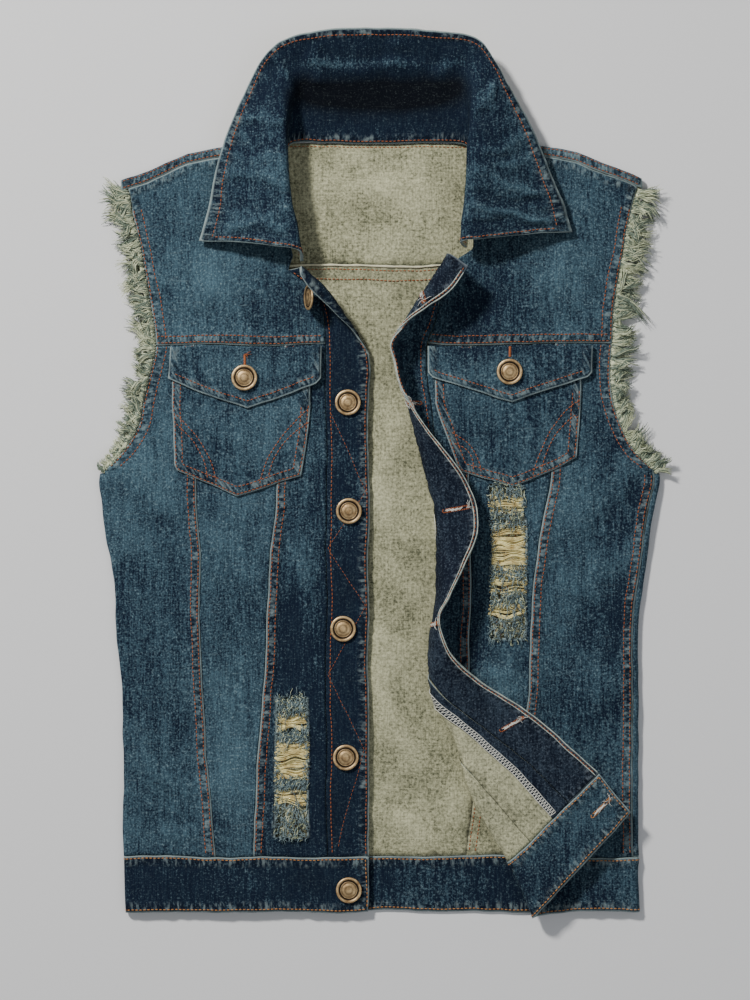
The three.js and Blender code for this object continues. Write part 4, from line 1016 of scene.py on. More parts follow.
Cloth("facing_left", rows_through(-103, PANEL_LOW, FINE),
      lambda y: np.linspace(LEFT_INNER + HALF, LEFT_INNER + 0.5 * (seam_x(2, y) - LEFT_INNER - 9.4), 8),
      lay_along(drape_left, 1.6), 0.8, tone=0.34, calm=0.7, pucker=0.4, seams=(0, 0, 0, 0), slot="facing")


# %% Pockets and flaps
POCKET_TOP, FLAP_TOP = 82, 106
DEPTH = 90  # the rows of a pocket or flap run from 0 to -DEPTH
LAID_STEP = 2.4


def laid(name, shape, top, z, thick, tone):
    """A pocket or flap: each column runs from the straight top to its shaped lower edge."""
    shape = np.array(shape, float)

    def place(u, y):
        low = np.interp(u, shape[:, 0], shape[:, 1])
        share = np.clip(-y / DEPTH, 0, 1)
        rim = np.minimum((1 - share) * (top - low), share * (top - low))
        soft = 0.5 * (1 - np.exp(-np.maximum(rim, 0) / 6)) - 0.25
        return np.stack([u, top + (low - top) * share, z + soft], -1)

    corners = [(shape[0, 0], top), *map(tuple, shape), (shape[-1, 0], top)]
    marks = list(shape[:, 0])
    cols = [x for a, b in zip(marks[:-1], marks[1:]) for x in spread(a, b, LAID_STEP)[:-1]] + marks[-1:]
    Cloth(name, spread(0, -DEPTH, LAID_STEP), lambda y: np.array(cols), place, thick, tone=tone,
          outline=corners, pucker=0.4)


for name, shape in POCKETS.items():
    laid(name, shape, POCKET_TOP, POCKET_Z, SINGLE, 0.42)
for name, shape in FLAPS.items():
    laid(name, shape, FLAP_TOP, FLAP_Z, DOUBLE, 0.38)


# %% Back panels, seen from inside
def back_flat(u, y):
    return np.stack([u, y, np.full_like(u, BACK_Z)], -1)


def back_seam(k, y):
    return float(smooth(BACK_SEAMS, y)[..., k])


BACK_TOP = BACK_YOKE_SEAM - HALF
BACK_HEIGHTS = rows_through(BACK_TOP, PANEL_LOW, COARSE, (ARMHOLE_END,))
FELL = (("top", 13, 0.8),)


def back_right_cols(y):
    edge = outline("right", y)
    start = edge + 1 if y > ARMHOLE_END else float(turn_x("right", y)) + UNDER + 0.3
    return np.linspace(start, back_seam(0, y) - HALF, 26)


def back_left_cols(y):
    edge = outline("left", y)
    stop = edge - 1 if y > ARMHOLE_END else float(turn_x("left", y))
    row = np.linspace(back_seam(1, y) + HALF, stop, 26)
    return np.concatenate([row, stop + np.array(ROUND), [stop + TURN_ARC + 1.5]])


def back_left_end(y):
    """Below the armhole the cloth goes round the fold, so its sewn edge is 30 mm farther on."""
    return outline("left", y) + (0 if y > ARMHOLE_END else 30)


def past_left_armhole(u, y):
    return (y > ARMHOLE_END) & (u > smooth(OUTLINE, y)[..., 1] - 1 + 0.01)


Cloth("back_center", rows_through(BACK_TOP, PANEL_LOW, COARSE),
      lambda y: np.linspace(back_seam(0, y) + HALF, back_seam(1, y) - HALF, 44), back_flat,
      back=True, pucker=0.5, welts=FELL)
Cloth("back_side_right", BACK_HEIGHTS, back_right_cols, back_flat, back=True, pucker=0.5, welts=FELL)
Cloth("back_side_left", BACK_HEIGHTS, back_left_cols, wrapped("left", BACK_Z), back=True,
      pucker=0.5, hide=past_left_armhole, welts=FELL,
      limits=(lambda y: back_seam(1, y) + HALF, back_left_end))


# %% Back yoke, from the seam up and over the shoulders
YOKE_REACH = 100  # q runs from 0 at the seam to this at the fold or neck
NECK_RIGHT, NECK_LEFT = -89, 77


def back_yoke_place(u, q):
    """Flat up to the shoulder fold, then round it and on over the front."""
    low = np.interp(u, YOKE[:, 1], YOKE[:, 0])
    top = np.interp(u, YOKE[:, 1], YOKE[:, 2])
    shoulder = (u <= NECK_RIGHT) | (u >= NECK_LEFT)
    turn = np.where(shoulder, top - FOLD_R - SINGLE / 2, top)
    level = np.clip(q / YOKE_REACH, 0, 1)
    angle = np.clip((q - YOKE_REACH) / FOLD_R, 0, math.pi)
    y = BACK_YOKE_SEAM + HALF + (turn - BACK_YOKE_SEAM - HALF) * level
    y = y + FOLD_R * np.sin(angle) - np.maximum(q - YOKE_REACH - TURN_ARC, 0)
    x = low + (u - low) * level
    return np.stack([x, y, MIDDLE_Z - FOLD_R * np.cos(angle)], -1)


def below_neck(u, q):
    return (q > YOKE_REACH) & (u > NECK_RIGHT) & (u < NECK_LEFT)


YOKE_TURNED = YOKE_REACH + TURN_ARC
YOKE_COLUMNS = np.concatenate(
    [spread(a, b, 4)[:-1] for a, b in zip(YOKE[:-1, 1], YOKE[1:, 1])] + [YOKE[-1:, 1]]
)
YOKE_ROWS = np.concatenate(
    [
        spread(YOKE_TURNED + 5.3, YOKE_TURNED, 2.6)[:-1],
        spread(YOKE_TURNED, YOKE_REACH, 1.2)[:-1],
        spread(YOKE_REACH, 0, 4),
    ]
)
Cloth("back_yoke", YOKE_ROWS, lambda q: YOKE_COLUMNS, back_yoke_place, back=True,
      hide=below_neck, pucker=0.5)


# %% Collar
def curve_through(points, t):
    """A centripetal curve through points; `t` runs from 0 to 1 along it."""
    points = np.asarray(points, float)
    padded = np.concatenate([[2 * points[0] - points[1]], points, [2 * points[-1] - points[-2]]])
    at = np.clip(t, 0, 1) * (len(points) - 1)
    i = np.minimum(at.astype(int), len(points) - 2)
    w = (at - i).reshape((-1,) + (1,) * (points.ndim - 1))
    p0, p1, p2, p3 = (padded[i + k] for k in range(4))
    gap = [np.maximum(np.linalg.norm(b - a, axis=-1, keepdims=True) ** 0.5, 1e-4)
           for a, b in ((p0, p1), (p1, p2), (p2, p3))]
    t1 = ((p1 - p0) / gap[0] - (p2 - p0) / (gap[0] + gap[1]) + (p2 - p1) / gap[1]) * gap[1]
    t2 = ((p2 - p1) / gap[1] - (p3 - p1) / (gap[1] + gap[2]) + (p3 - p2) / gap[2]) * gap[1]
    return (p1 * (2 * w**3 - 3 * w**2 + 1) + t1 * (w**3 - 2 * w**2 + w)
            + p2 * (3 * w**2 - 2 * w**3) + t2 * (w**3 - w**2))


COLLAR_LONG, COLLAR_WIDE = 520.0, 104.0
STATIONS, PARTS = 240, 48


def collar_form():
    lines = [curve_through(COLLAR[:, 3 * k:3 * k + 3], np.linspace(0, 1, STATIONS + 1)) for k in range(3)]
    return curve_through(np.stack(lines), np.linspace(0, 1, PARTS + 1))


COLLAR_FORM = collar_form()  # across the collar, along it, x y z


def collar_place(u, y):
    s = np.clip(u / COLLAR_WIDE, 0, 1) * PARTS
    t = np.clip(-y / COLLAR_LONG, 0, 1) * STATIONS
    i, j = np.minimum(s.astype(int), PARTS - 1), np.minimum(t.astype(int), STATIONS - 1)
    a, b = (s - i)[..., None], (t - j)[..., None]
    return ((COLLAR_FORM[i, j] * (1 - a) + COLLAR_FORM[i + 1, j] * a) * (1 - b)
            + (COLLAR_FORM[i, j + 1] * (1 - a) + COLLAR_FORM[i + 1, j + 1] * a) * b)


COLLAR_CREASES = np.array(  # from x, y, to x, y, height, half width
    [
        (-80, 206, -136, 201, 1.6, 4.5), (-82, 224, -138, 219, -1.4, 4), (-80, 240, -132, 246, 1.5, 4.5),
        (-84, 262, -126, 272, -1.3, 4.5), (-84, 283, -118, 300, 1.7, 5), (-78, 304, -106, 322, -1.3, 4.5),
        (-74, 318, -96, 342, 1.6, 5), (-50, 322, -62, 352, 1.3, 7), (-60, 338, 40, 334, 1.3, 5),
        (5, 322, 12, 356, 1.1, 7), (45, 320, 54, 350, 1.2, 7), (74, 306, 104, 322, 1.4, 5),
        (70, 286, 112, 300, -1.4, 4.5), (72, 262, 118, 276, 1.5, 4.5), (70, 246, 128, 232, 1.9, 4),
        (72, 232, 134, 219, -1.6, 3.5), (70, 218, 140, 210, 2.0, 3.6), (68, 207, 132, 203, -1.4, 3.5),
        (66, 256, 122, 255, 1.2, 4),
    ], float,
)


def collar_painted_light(u, y):
    """Painted shade inside the stand at the back, which faces away from the light, and on the wings next to
    the neck seam, with a painted highlight on the crease where the stand folds.
    """
    share = u / COLLAR_WIDE
    back = np.clip(1.35 - np.abs(y / COLLAR_LONG + 0.5) / 0.22, 0, 1)
    # painted shade in the stand, and a painted highlight on its fold
    dark = np.exp(-(((share - 0.42) / 0.16) ** 2)) * 1.3
    pale = np.exp(-(((share - 0.7) / 0.05) ** 2)) * 0.3
    return (pale - dark - 0.3) * back - 0.35 * (1 - back) * np.exp(-((share / 0.25) ** 2))


# the collar's shade and the highlight on its fold are painted into its colour
Cloth("collar", spread(0, -COLLAR_LONG, FINE), lambda y: np.linspace(0, COLLAR_WIDE, 42),
      collar_place, DOUBLE, tone=0.2, calm=1.3, pucker=0.8, shade=collar_painted_light,
      creases=COLLAR_CREASES, welts=(("right", 25, 0.7),))

# %% Waistband
BAND_MIDDLE = (BAND_FRONT_Z + BAND_BACK_Z) / 2
BAND_ARC = math.pi * BAND_FOLD_R


def band_turns(y):
    values = smooth(OUTLINE, y)
    reach = BAND_FOLD_R + DOUBLE / 2
    return values[..., 0] + reach, values[..., 1] - reach


def band_place(u, y):
    """Along the left front, round the fold, along the back, round again, along the right."""
    right, left = band_turns(y)
    front = drape_left(np.minimum(u, left), y) + np.array([0, 0, BAND_FRONT_Z - FRONT_Z])
    past = u - left
    angle = np.clip(past / BAND_FOLD_R, 0, math.pi)
    behind = np.clip(past - BAND_ARC, 0, left - right)
    again = past - BAND_ARC - (left - right)
    second = np.clip(again / BAND_FOLD_R, 0, math.pi)
    x = left + BAND_FOLD_R * np.sin(angle) - behind - BAND_FOLD_R * np.sin(second)
    x = x + np.maximum(again - BAND_ARC, 0)
    climb = np.where(again > 0, -np.cos(second), np.cos(angle))
    rest = np.stack([x, y, BAND_MIDDLE + BAND_FOLD_R * climb], -1)
    return np.where((past > 0)[..., None], rest, front)


def band_cols(y):
    right, left = (float(v) for v in band_turns(y))
    back = left + BAND_ARC
    turn = back + (left - right)
    end = turn + BAND_ARC + (RIGHT_EDGE - right)
    return joined((LEFT_EDGE, left, 82), (left, back, 7), (back, turn, 90), (turn, turn + BAND_ARC, 7),
                  (turn + BAND_ARC, end, 76))


def band_painted_shade(u, y):
    """Painted shade on the band from the part behind the opening onwards, where it lies in shadow between
    the fronts.
    """
    right, left = band_turns(y)
    return np.where(u > left + BAND_ARC, -0.32, 0.0)


# the shadow on the band behind the opening is painted shade
Cloth("waistband", spread(BAND_TOP - HALF, BAND_BOTTOM, FINE), band_cols, band_place, DOUBLE,
      tone=0.43, calm=0.7, pucker=0.6, shade=band_painted_shade)


# %% [markdown]
# ## Sewing the sheets into objects
# Each piece becomes one object that rides the vest's root, with its own skins
# for the outside, the inside and the worn rim of the cloth.

# %% Build the cloth
LOOKS = {name: OUTSIDE for name in Cloth.made}
for name in ("waistband", "placket_right", "front_yoke_right", "front_yoke_left"):
    LOOKS[name] = (DENIM, DENIM, RAW_EDGE)
for name in ("back_center", "back_side_right", "back_side_left", "back_yoke"):
    LOOKS[name] = (BACK_INSIDE_FOLD_SHADED, DENIM, RAW_EDGE)
LOOKS["placket_left"] = (DENIM, FACING, RAW_EDGE)
LOOKS["facing_left"] = (INSIDE, FACING, RAW_EDGE)
for name, cloth in Cloth.made.items():
    cloth.build(LOOKS[name])

# %% [markdown]
# ## Sewing
# A row of stitches follows a line drawn on the flat piece, and its skin carries
# the line to its place. Each stitch is a short thread that dips into the cloth.

# %% Threads as closed tubes
class Threads:
    """Many short threads of one finish, gathered into one object."""

    def __init__(self, name, finish, slot=None, sides=5):
        self.name, self.finish, self.slot, self.sides = name, finish, slot, sides
        self.verts, self.faces = [], []

    def add(self, centre, radius, up=(0.0, 0.0, 1.0)):
        """A closed tube through `centre`, a row of points in mm."""
        centre = np.asarray(centre, float)
        ahead = np.gradient(centre, axis=0)
        ahead /= np.maximum(np.linalg.norm(ahead, axis=1, keepdims=True), 1e-9)
        side = np.cross(ahead, np.broadcast_to(up, ahead.shape))
        length = np.linalg.norm(side, axis=1, keepdims=True)
        side = np.where(length > 1e-3, side / np.maximum(length, 1e-3), (1.0, 0.0, 0.0))
        rise = np.cross(side, ahead)
        angle = np.linspace(0, 2 * math.pi, self.sides, endpoint=False)
        radius = np.broadcast_to(radius, len(centre))[:, None, None]
        ring = np.cos(angle)[None, :, None] * side[:, None] + np.sin(angle)[None, :, None] * rise[:, None]
        points = (centre[:, None] + ring * radius).reshape(-1, 3)
        first, n, m = sum(map(len, self.verts)), self.sides, len(centre)
        self.verts.append(points)
        for k in range(m - 1):
            for j in range(n):
                a, b = first + k * n + j, first + k * n + (j + 1) % n
                self.faces.append((a, b, b + n, a + n))
        self.faces.append(tuple(first + j for j in reversed(range(n))))
        self.faces.append(tuple(first + (m - 1) * n + j for j in range(n)))

    def build(self, *nodes):
        mesh = bpy.data.meshes.new(self.name)
        verts = np.concatenate(self.verts) * MM
        verts[:, 2] = np.maximum(verts[:, 2], 0)
        mesh.from_pydata(verts.tolist(), [], self.faces)
        mesh.polygons.foreach_set("use_smooth", np.ones(len(self.faces), bool))
        mesh.materials.append(self.finish.material)
        mesh.update()
        made = bpy.data.objects.new(self.name, mesh)
        bpy.context.scene.collection.objects.link(made)
        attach(made, "root")
        if nodes:
            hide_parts(*nodes)
        return made


STITCH, GAP_BETWEEN, THREAD_R = 2.5, 0.8, 0.4
RUST = Threads("rust_stitches_fronts", ORANGE)
RUST_BANDS = Threads("rust_stitches_bands", ORANGE)
RUST_INSIDE = Threads("rust_stitches_inside", ORANGE, sides=4)
HEM_ROWS = Threads("gold_stitches_hem", GOLD, sides=4)
BANDS = ("placket_right", "placket_left", "collar")


def rust_thread(cloth, face):
    """The object that a row on this face of a piece belongs to."""
    if cloth.name == "waistband":
        return HEM_ROWS
    if face < 0 or cloth.back:
        return RUST_INSIDE
    return RUST_BANDS if cloth.name in BANDS else RUST


def resampled(points, pitch):
    """Points an even pitch apart along a path, and the whole length."""
    step = np.linalg.norm(np.diff(points, axis=0), axis=1)
    run = np.concatenate([[0], np.cumsum(step)])
    count = max(1, int(run[-1] / pitch))
    at = np.linspace(0, run[-1], count + 1)
    return np.stack([np.interp(at, run, points[:, k]) for k in range(points.shape[1])], 1), run[-1]


def stitch_line(cloth, u, y, face=1, stitch=STITCH, gap=GAP_BETWEEN, radius=THREAD_R, above=0.0):
    """A row of stitches along the line (u, y) drawn on a piece of cloth."""
    into = rust_thread(cloth, face)
    path = np.stack(np.broadcast_arrays(np.asarray(u, float), np.asarray(y, float)), 1)
    path, _ = resampled(path, 1.0)
    line = cloth.skin(path[:, 0], path[:, 1], face, above)
    up = cloth.normal(path[:, 0], path[:, 1]) * face
    both, _ = resampled(np.concatenate([line, up], 1), (stitch + gap) / 4)
    for k in range(0, len(both) - 4, 4):
        share = np.array([0, 0.22, 0.5, 0.78, 1]) * stitch / (stitch + gap)
        p = np.stack([np.interp(share * 4, np.arange(5), both[k:k + 5, i]) for i in range(6)], 1)
        lift = np.array([-0.3, 0.14, 0.24, 0.14, -0.3]) * radius / THREAD_R
        normal = p[2, 3:] / max(np.linalg.norm(p[2, 3:]), 1e-6)
        into.add(p[:, :3] + normal * lift[:, None], radius * np.array([0.5, 0.95, 1, 0.95, 0.5]), normal)


def down(cloth, inset, from_y, to_y, side, **how):
    """A row beside the right (0) or left (1) edge of a piece, `inset` mm in."""
    y = spread(from_y, to_y, 4)
    u = np.interp(y, *cloth.ends[side]) + (inset if side == 0 else -inset)
    stitch_line(cloth, u, y, **how)


def level(cloth, y, from_u, to_u, **how):
    u = spread(from_u, to_u, 4)
    stitch_line(cloth, u, np.full_like(u, y), **how)


# %% Rows on the fronts
piece = Cloth.made
ROWS = (1.9, 7.2)  # the two rows of a felled seam, from its edge
ROW_LOW = -312
SEAM_RUN = (107, ROW_LOW)
for inset in ROWS:
    down(piece["front_side_right"], inset, *SEAM_RUN, 1)
    down(piece["front_side_left"], inset, *SEAM_RUN, 0)
    down(piece["front_center_right"], inset, *SEAM_RUN, 0)
    down(piece["front_center_left"], inset, *SEAM_RUN, 1)
    level(piece["front_yoke_right"], YOKE_SEAM + HALF + inset, -YOKE_WIDE + 1, -1)
    level(piece["front_yoke_left"], YOKE_SEAM + HALF + inset, 1, YOKE_WIDE - 1)
    down(piece["front_side_left"], inset + 0.4, 0, ROW_LOW, 1)
for inset in (1.6, 9.0):
    down(piece["front_yoke_right"], inset, 238, 110, 0)
    down(piece["front_yoke_left"], inset, 238, 110, 1)
    down(piece["front_side_right"], inset, 107, 5, 0)
    down(piece["front_side_left"], inset, 107, 5, 1)

# bands: a row by each edge, and the thin zigzag that crosses the button band
placket = piece["placket_right"]
down(placket, 2.4, 166, ROW_LOW, 1)
down(placket, 3.6, 166, ROW_LOW, 0)
ZIGZAG = np.array(  # u, y
    [(-45, 52), (-17, -12), (-47, -60), (-17, -106), (-47, -164), (-18, -224), (-40, -306)], float
)
stitch_line(placket, ZIGZAG[:, 0], ZIGZAG[:, 1], radius=0.24)
for face in (1, -1):
    down(piece["placket_left"], 2.4, 170, ROW_LOW, 0, face=face)
down(piece["placket_left"], 3.6, 170, ROW_LOW, 1)
band = piece["waistband"]
band_end = float(band_cols(-330)[-1])
for face in (1, -1):
    level(band, BAND_TOP - 2.2, LEFT_EDGE + 2, band_end - 2, face=face)
    level(band, BAND_BOTTOM + 2.2, LEFT_EDGE + 2, band_end - 2, face=face)
    for u in (LEFT_EDGE + 2.2, band_end - 2.2):
        stitch_line(band, [u, u], [BAND_TOP - 2.4, BAND_BOTTOM + 2.4], face=face)


# the front edge is rubbed pale, and so is the fold inside it
EDGES = Threads("worn_edges", WORN)
left_edge = piece["placket_left"]
for inset, face in ((0.25, 1), (0.25, -1), (3.3, -1)):
    y = spread(168, ROW_LOW, 2)
    u = np.full_like(y, LEFT_EDGE + inset)
    up = left_edge.normal(u, y) * face
    EDGES.add(left_edge.skin(u, y, face, 0.1), 0.42 + 0.08 * lumps(y, y, 9, 3), up)
EDGES.build()

# %% Rows on pockets and flaps
def inner_line(corners, inset):
    """A closed outline moved inwards by `inset` mm."""
    corners = np.array(corners, float)
    ahead = np.roll(corners, -1, 0) - corners
    ahead /= np.linalg.norm(ahead, axis=1, keepdims=True)
    normal = np.stack([-ahead[:, 1], ahead[:, 0]], 1)
    moved = []
    for k in range(len(corners)):
        m = normal[k] + normal[k - 1]
        m /= max(1 + normal[k] @ normal[k - 1], 0.3)
        moved.append(corners[k] + m * inset)
    return np.array(moved)


def on_laid(cloth, points):
    """Place (x, y) on a pocket or flap as its own (u, depth)."""
    shape = np.array(cloth.outline[1:-1])
    top = cloth.outline[0][1]
    low = np.interp(points[:, 0], shape[:, 0], shape[:, 1])
    return points[:, 0], -DEPTH * (top - points[:, 1]) / (top - low)


def laid_line(cloth, points, **how):
    points, _ = resampled(np.asarray(points, float), 2.5)
    stitch_line(cloth, *on_laid(cloth, points), **how)


FLAP_ROWS, POCKET_ROWS = (5.6,), (1.5, 7.0)
for name in (*POCKETS, *FLAPS):
    cloth = piece[name]
    for inset in (POCKET_ROWS if name in POCKETS else FLAP_ROWS):
        ring = inner_line(cloth.outline, inset)
        laid_line(cloth, ring[:-1] if name in POCKETS else ring[1:-1])


def arc(ax, ay, bx, by, bow):
    """A bowed line between two places on a pocket."""
    t = np.linspace(0, 1, 20)
    length = math.hypot(bx - ax, by - ay)
    nx, ny = (by - ay) / length, -(bx - ax) / length
    swell = bow * 4 * t * (1 - t)
    return np.stack([ax + (bx - ax) * t + nx * swell, ay + (by - ay) * t + ny * swell], 1)


for name, curves in {
    "pocket_right": [(-171, 50, -139, -6, -6), (-172, 43, -146, -3, -6), (-64, 56, -104, -8, 6),
                     (-64, 45, -96, -2, 6)],
    "pocket_left": [(54, 36, 79, 1, -6), (56, 27, 72, 3, -6), (157, 63, 120, 0, 6), (157, 52, 127, 4, 6)],
}.items():
    for curve in curves:
        laid_line(piece[name], arc(*curve))


# %% Rows on the collar, shoulders and the inside of the back
collar = piece["collar"]
for face in (1, -1):
    level(collar, -5.5, 12, COLLAR_WIDE - 6, face=face)
    level(collar, -COLLAR_LONG + 5.5, 12, COLLAR_WIDE - 6, face=face)
    down(collar, 6.0, -5.5, -COLLAR_LONG + 5.5, 1, face=face)
down(collar, 2.4, -4, -COLLAR_LONG + 4, 0)
back_yoke = piece["back_yoke"]
for q in (YOKE_TURNED + 3.6, YOKE_TURNED - 1.2):
    level(back_yoke, q, -216, -92, face=-1)
    level(back_yoke, q, 80, 208, face=-1)
level(back_yoke, YOKE_REACH - 2.6, -82, 70)
FELL_EDGE = Threads("yoke_fell_edge", CREAM, sides=6)
for name in ("back_center", "back_side_right", "back_side_left"):
    for y in (169.4, 161.4):
        cols = piece[name].cols(y)
        level(piece[name], y, cols[0] + 1, cols[-1] - 1)
    u = spread(piece[name].cols(172.8)[0] + 0.5, piece[name].cols(172.8)[-1] - 0.5, 2.5)
    FELL_EDGE.add(piece[name].skin(u, np.full_like(u, 172.8), 1, 0.5), 1.05 + 0.2 * lumps(u, u, 13, 2))
FELL_EDGE.build()
for side, name in enumerate(("back_side_right", "back_side_left")):
    for inset in ROWS:
        down(piece[name], inset, 172, ROW_LOW, 1 - side)

# %% [markdown]
# ## Frayed edges
# The cut armholes are teased into a thick fringe: short wavy threads in small
# tufts that leave the edge together and curl down towards the table.

# %% Armhole fringe
random.seed(3)


def armhole_line(key):
    side = -1 if key == "right" else 1
    y = spread(float(shoulder_seam(side * 214)) - 0.6, ARMHOLE_END + 0.6, 1)
    x = smooth(OUTLINE, y)[:, 0 if key == "right" else 1]
    return resampled(np.stack([x, y], 1), 1.0)


def fringe_thread(root, aim, reach, z0, z1, curl, phase, swing):
    """A wavy thread from `root` that bends sideways as it goes, in mm."""
    t = np.linspace(0, 1, 9)
    side = np.array([-aim[1], aim[0]])
    sway = curl * t**1.8 * reach * 0.5 + swing * np.sin(t * 9 + phase) * np.sqrt(t)
    xy = root + np.outer(t * reach * (1 - 0.18 * abs(curl)), aim) + np.outer(sway, side)
    z = z0 + (z1 - z0) * t**1.3 + swing * np.sin(t * 8 + phase * 1.7) * t
    points = np.column_stack([xy, np.maximum(z, 0.4)])
    points[:, :2] += SHIFT + settled(*root)
    return points


FRINGE_LONG = {  # heights, and how far the fringe reaches there
    "right": ((0, 30, 90, 240), (7, 12, 17, 19)),
    "left": ((0, 30, 90, 240), (13, 15, 18, 20)),
}


def add_fringe(key, tuft_pitch=2.0, threads=16):
    side = -1 if key == "right" else 1
    line, length = armhole_line(key)
    kinds = [Threads(f"fringe_{name}_{key}", finish, "frayed_cotton", 3)
             for name, finish in (("pale", FRAY), ("grey", GREY_FRAY))]
    ahead = np.gradient(line, axis=0)
    ahead /= np.linalg.norm(ahead, axis=1, keepdims=True)
    taper = np.array([1, 1, 1, 1, 0.97, 0.93, 0.85, 0.7, 0.4])
    for k in range(int(length / tuft_pitch)):
        centre = (k + random.uniform(0.2, 0.8)) * tuft_pitch
        lean, curl = random.gauss(0, 0.42), random.gauss(0, 0.85)
        middle = np.interp(line[min(int(centre), len(line) - 1), 1], *FRINGE_LONG[key])
        reach = middle * min(max(random.gauss(1, 0.2), 0.6), 1.35)
        tip = random.uniform(0.8, 9.0)
        phase, swing = random.uniform(0, 6.3), random.uniform(0.6, 1.6)
        pale_share = random.choice((0.25, 0.5, 0.8))
        for _ in range(threads):
            place = min(max(centre + random.gauss(0, 0.6), 1), len(line) - 2)
            root = np.array([np.interp(place, np.arange(len(line)), line[:, i]) for i in range(2)])
            tangent = ahead[int(place)]
            out = side * np.array([-tangent[1], tangent[0]])
            aim = out + tangent * (lean + random.gauss(0, 0.13))
            aim /= np.linalg.norm(aim)
            start = root - out * random.uniform(1.8, 4.0)
            z0 = FRONT_Z + random.uniform(0.3, 1.9)
            long, z1 = reach * random.uniform(0.75, 1.1), tip + random.gauss(0, 0.7)
            points = fringe_thread(start, aim, long, z0, z1,
                                   curl + random.gauss(0, 0.12), phase + random.gauss(0, 0.3), swing)
            into = kinds[0] if random.random() < pale_share else kinds[1]
            into.add(points, random.uniform(0.36, 0.54) * taper)
    for kind in kinds:
        kind.build("fringe_" + key)


def fringe_strip(key):
    """The narrow raw strip that the fringe grows from."""
    side = -1 if key == "right" else 1

    def place(u, y):
        x = smooth(OUTLINE, y)[..., 0 if side < 0 else 1] + u
        return np.stack([x, y, np.full_like(x, FRONT_Z)], -1)

    span = (0, STRIP - 0.8) if side < 0 else (-STRIP + 0.8, 0)
    high = float(shoulder_seam(side * 214)) - 0.6
    strip = Cloth("fringe_" + key, rows_through(high, ARMHOLE_END + 0.6, FINE),
                  lambda y: np.linspace(*span, 4), place, 1.0, tone=0.7, slot="frayed_cotton")
    strip.build((FRAY, FRAY, FRAY))


for key in ("right", "left"):
    fringe_strip(key)
    add_fringe(key)

# %% [markdown]
# ## Torn windows
# Worn through denim loses its blue upright threads first: the pale cross
# threads stay in bands, and broken blue ends stand round the hole.

# %% Cross threads and frays
def rip(key, hole, place):
    cross = Threads("rip_cross_" + key, YELLOW, "rip_threads", 4)
    frays = Threads("rip_frays_" + key, BLUE_FRAY, "frayed_cotton", 3)
    pale = Threads("rip_pale_" + key, FRAY, "frayed_cotton", 3)
    node = "rip_threads_" + key
    right, left = hole["right"], hole["left"]

    def at(u, y, lift):
        u, y = np.broadcast_arrays(np.asarray(u, float), np.asarray(y, float))
        points = place(u, y)
        points[:, :2] += SHIFT + settled(points[:, 0], points[:, 1])
        points[:, 2] += lift
        return points

    t = np.linspace(0, 1, 11)
    for top, low in hole["bands"]:
        y = top
        while y > low:
            # neighbours sag alike, so the threads lie in loose bunches
            swell = 2.0 * np.sin(3.4 * t + y * 0.3) + 1.2 * np.sin(7.5 * t - y * 0.23)
            line = y + swell * np.sin(math.pi * t) + random.gauss(0, 0.5) * np.sin(3 * t)
            lift = 1.5 * np.sin(math.pi * t) * (0.5 + 0.6 * math.sin(y * 1.2)) + random.uniform(-0.5, 0.6)
            ends = right - random.uniform(0.4, 2.2), left + random.uniform(0.4, 2.2)
            cross.add(at(ends[0] + (ends[1] - ends[0]) * t, line, lift), random.uniform(0.4, 0.62))
            y -= random.uniform(0.5, 0.78) + (1.3 if random.random() < 0.1 else 0)
    levels = [hole["top"] + 1, *(v for b in hole["bands"] for v in b), hole["bottom"] - 1]
    t = np.linspace(0, 1, 7)
    gaps = list(zip(levels[:-1:2], levels[1::2]))
    for k in range(1150):
        if random.random() < 0.2:  # upright ends broken off along the sides
            edge = random.choice((right, left))
            u0, y0 = edge, random.uniform(hole["bottom"], hole["top"])
            du, dy = (1 if edge == right else -1) * random.uniform(-2.5, 4.5), random.gauss(0, 3)
        else:  # tufts between the bands
            high, low = random.choice(gaps)
            u0, y0 = random.uniform(right + 1.5, left - 1.5), random.uniform(low - 1, high + 1)
            du, dy = random.gauss(0, 2.2), random.gauss(0, 4.2)
        u = u0 + du * t + 1.1 * np.sin(t * 7 + k) * t
        y = y0 + dy * t + 1.1 * np.sin(t * 6 + k * 2) * t
        lift = 1.1 + random.uniform(0.2, 2.2) * np.sin(math.pi * t) + 0.5 * t
        into = frays if random.random() < 0.78 else pale
        into.add(at(u, y, lift), random.uniform(0.26, 0.46) * np.array([1, 1, 1, 1, 0.9, 0.7, 0.35]))
    for threads in (cross, frays, pale):
        threads.build(node)


rip("right", RIP_RIGHT, drape_right)
rip("left", RIP_LEFT, drape_left)

# %% [markdown]
# ## Buttonholes and overlocking
# The buttonholes are bars of dense rust thread with broken pale ends, and the
# facing's raw edge is held by a white overlock zigzag.

# %% Buttonholes, bars and overlock
def bar(cloth, u0, y0, u1, y1, face=1, wide=1.5, above=0.1):
    """A dense bar of cross stitches from one place to another."""
    into = rust_thread(cloth, face)
    path, _ = resampled(np.array([(u0, y0), (u1, y1)], float), 0.62)
    ahead = (path[-1] - path[0]) / np.linalg.norm(path[-1] - path[0])
    side = np.array([-ahead[1], ahead[0]])
    for place in path:
        reach = wide * random.uniform(0.8, 1.1)
        ends = np.array([place - side * reach, place, place + side * reach])
        line = cloth.skin(ends[:, 0], ends[:, 1], face, above)
        up = cloth.normal(ends[1:2, 0], ends[1:2, 1])[0] * face
        line = line + up * np.array([-0.3, 0.35, -0.3])[:, None]
        into.add(line, 0.34, up)


